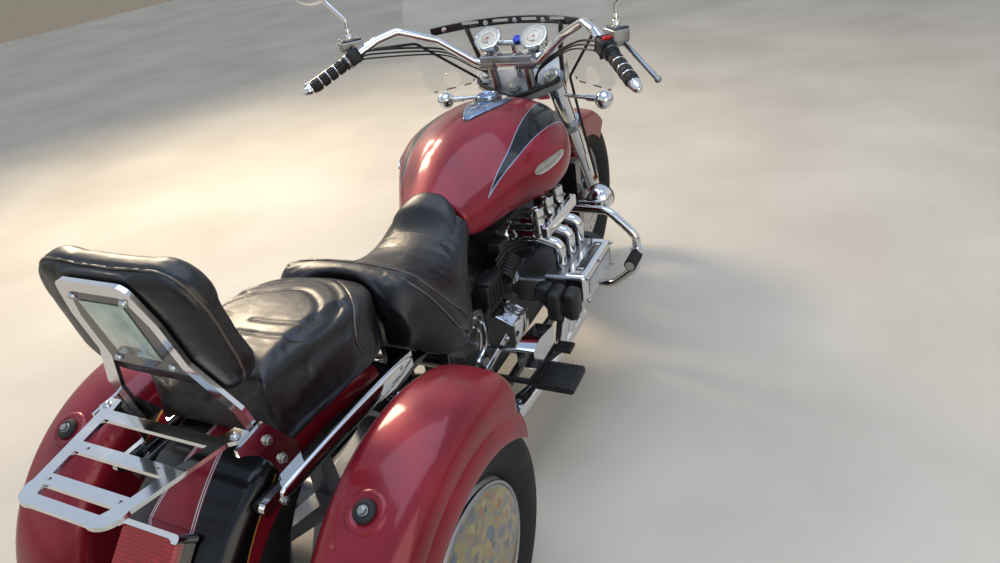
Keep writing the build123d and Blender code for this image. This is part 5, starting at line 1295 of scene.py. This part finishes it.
# Bright fittings round the engine: a bent bracket and a small canister by the air box, a trim
# crescent on each side cover, and the flat hanger of the passenger peg. All are chromed steel.
bm = bmesh.new()
for side in (1, -1):
    bend = [(122, 868, 622), (126, 838, 640), (130, 806, 628), (132, 800, 598), (130, 822, 578)]
    routed(bm, side, bend, 5.5, 10, 12)
    rod_between(bm, at(side * 104, 790, 486), at(side * 150, 790, 486), 21, 21, 32, 3)
    spun(bm, at(side * 150, 790, 486), (side, 0, 0), [(0, 15), (2, 14.5), (3.4, 12), (2, 9), (2, 0)], 32)
    crescent = [(188, 344, 570), (188, 420, 574), (188, 472, 548)]
    crescent += [(189, 488, 500), (188, 474, 452), (188, 430, 438)]
    routed(bm, side, crescent, 5.0, 10, 12)
    inner = [(188, 380, 548), (188, 428, 548), (188, 456, 528), (188, 464, 496), (188, 450, 466)]
    routed(bm, side, inner, 3.2, 10, 12)
    fold = Matrix.Rotation(radians(side * 24), 3, "Y")
    rounded_block(bm, at(side * 172, 664, 446), (86, 92, 5), 2, fold)
    rounded_block(bm, at(side * 209, 664, 408), (5, 92, 66), 2)
    rounded_block(bm, at(side * 211, 690, 414), (3, 12, 54), 1.2)
    slope = Matrix.Rotation(radians(8.5), 3, "X")
    rounded_block(bm, at(side * 194, 480, 396), (8, 236, 24), 3.4, slope, 3)
piece("engine_bright_fittings", bm, chrome, "chassis", 40)
bm = bmesh.new()
for side in (1, -1):
    for ahead, up in ((585, 411), (378, 381)):
        bolt(bm, at(side * 198, ahead, up), (side, 0, 0), 12)
piece("peg_hanger_bolts", bm, zinc_steel, "chassis", 35)

# Radiator core. Thin folded fins cross flat upright tubes on both faces. All are dark alloy, left
# without paint.
bm = bmesh.new()
for face in (1239, 1285):
    for i in range(46):
        rounded_block(bm, at(0, face, 440 + 5 * i), (280, 2.4, 2.0), 0.5, None, 1)
    for i in range(15):
        rounded_block(bm, at(-140 + 20 * i, face, 551), (2.4, 3.2, 232), 0.6, None, 1)
piece("radiator_fins", bm, dark_alloy, "chassis", 35)

# Driving lamps. Each has a chrome shell, with a black rubber ring round a clear lens that is moulded
# with upright flutes about 5 mm apart.
fluted, tree, shader = material("fluted_clear_glass", "#C7D0D6", 0.08, 0.35, Coat_Weight=1.0)
place, _, bump = worn(tree, shader, 6, 0.1, (0.04, 0.12), 20)
flutes = add(tree, "TexWave", {"Vector": place, "Scale": 60.0}, bands_direction="X")
deep = add(tree, "Bump", {"Height": flutes.outputs["Fac"], "Distance": 0.0015, "Normal": bump})
tree.links.new(deep.outputs[0], shader.inputs["Normal"])
lens, rim = bmesh.new(), bmesh.new()
for side in (1, -1):
    spot = at(side * 246, 1300, 517)
    spun(lens, spot, (0, 1, 0), arc((29, 42), (32, 24), (33.5, 0), 8), 40)
    spun(rim, spot, (0, 1, 0), [(22, 47.6), (30, 48.4), (33, 46), (32, 42), (28, 41.5)], 48)
piece("driving_lamp_lenses", lens, fluted, "chassis", 60)
piece("driving_lamp_rings", rim, soft_rubber, "chassis", 40)

# Foot controls and guard pegs. Ribbed rubber is moulded over steel plates and pegs.
finish_node("foot_controls", soft_rubber)
bm = bmesh.new()
for side in (1, -1):
    for i in range(8):
        rounded_block(bm, at(side * (294 + 14 * i), 590, 315.2), (7, 98, 3.4), 1.2)
    for i in range(4):
        rounded_block(bm, at(side * (291 + 12 * i), 724, 312.8), (6, 38, 3), 1.1)
    for i in range(9):
        spot = at(side * 402, 1190 - 9.5 * i, 376)
        spun(bm, spot, (0, 1, 0), arc((-3.4, 17), (0, 20.5), (3.4, 17), 5), 24)
    for i in range(8):
        t = (i + 1) / 9
        spot = at(side * (250 + 98 * t), 345 - 10 * t, 391 + t)
        spun(bm, spot, (side * 0.995, -0.1, 0), arc((-3.4, 14), (0, 17.6), (3.4, 14), 5), 24)
piece("peg_and_pad_rubbers", bm, soft_rubber, "chassis", 40)

# Exhaust ends and amber reflectors. Each muffler ends in a rolled, chromed lip round its bore, and a
# near-black disc a few millimetres inside the lip is soot and painted shade for the deep hollow of the pipe;
# round moulded reflectors are stuck to the fork sliders.
soot_and_shade = plain_finish("soot_and_painted_shade_bore", "#0E0D0C", 0.9, 0.0, (2, 0.3, (0.8, 0.95), 15))
bores, lips = bmesh.new(), bmesh.new()
for side in (1, -1):
    spun(bores, at(side * 215, -354, 220), (0, -1, 0), [(0, 0), (0.5, 29.3), (5, 29.4), (5.4, 28.6)], 36)
    spun(lips, at(side * 215, -358, 220), (0, -1, 0), arc((-3, 33.4), (3, 31.2), (-3, 28.9), 8), 48)
piece("exhaust_bores", bores, soot_and_shade, "chassis", 50)
piece("exhaust_lips", lips, chrome, "chassis", 40)
bm = bmesh.new()
for side in (1, -1):
    spun(bm, at(side * 140.4, 1600, 476), (side, 0, 0), [(0, 17), (3, 17), (4, 15.6), (4.4, 8), (4.6, 0)], 36)
piece("fork_reflectors", bm, amber, "steering", 50)

# Axle nuts and disc bolts. Plated hexagons hold the front and rear spindles, the swingarm's pivot
# and the front discs.
_, axle_ahead, axle_up = FRONT_HUB
circle = [(46 * cos(pi * i / 3), 46 * sin(pi * i / 3)) for i in range(6)]
NUTS = {
    # body: each nut's place across, ahead and up, on the right side, and its size across flats
    "front_wheel": [(75.5, axle_ahead + ahead, axle_up + up, 9) for ahead, up in circle],
    "steering": [(156, axle_ahead, axle_up, 22)],
    "chassis": [(146, 0, REAR_HUB[2], 24), (147, 520, 360, 20)],
}
for body, nuts in NUTS.items():
    bm = bmesh.new()
    for side in (1, -1):
        for x, ahead, up, flats in nuts:
            bolt(bm, at(side * x, ahead, up), (side, 0, 0), flats)
    piece("axle_bolts_" + body, bm, zinc_steel, body, 35)
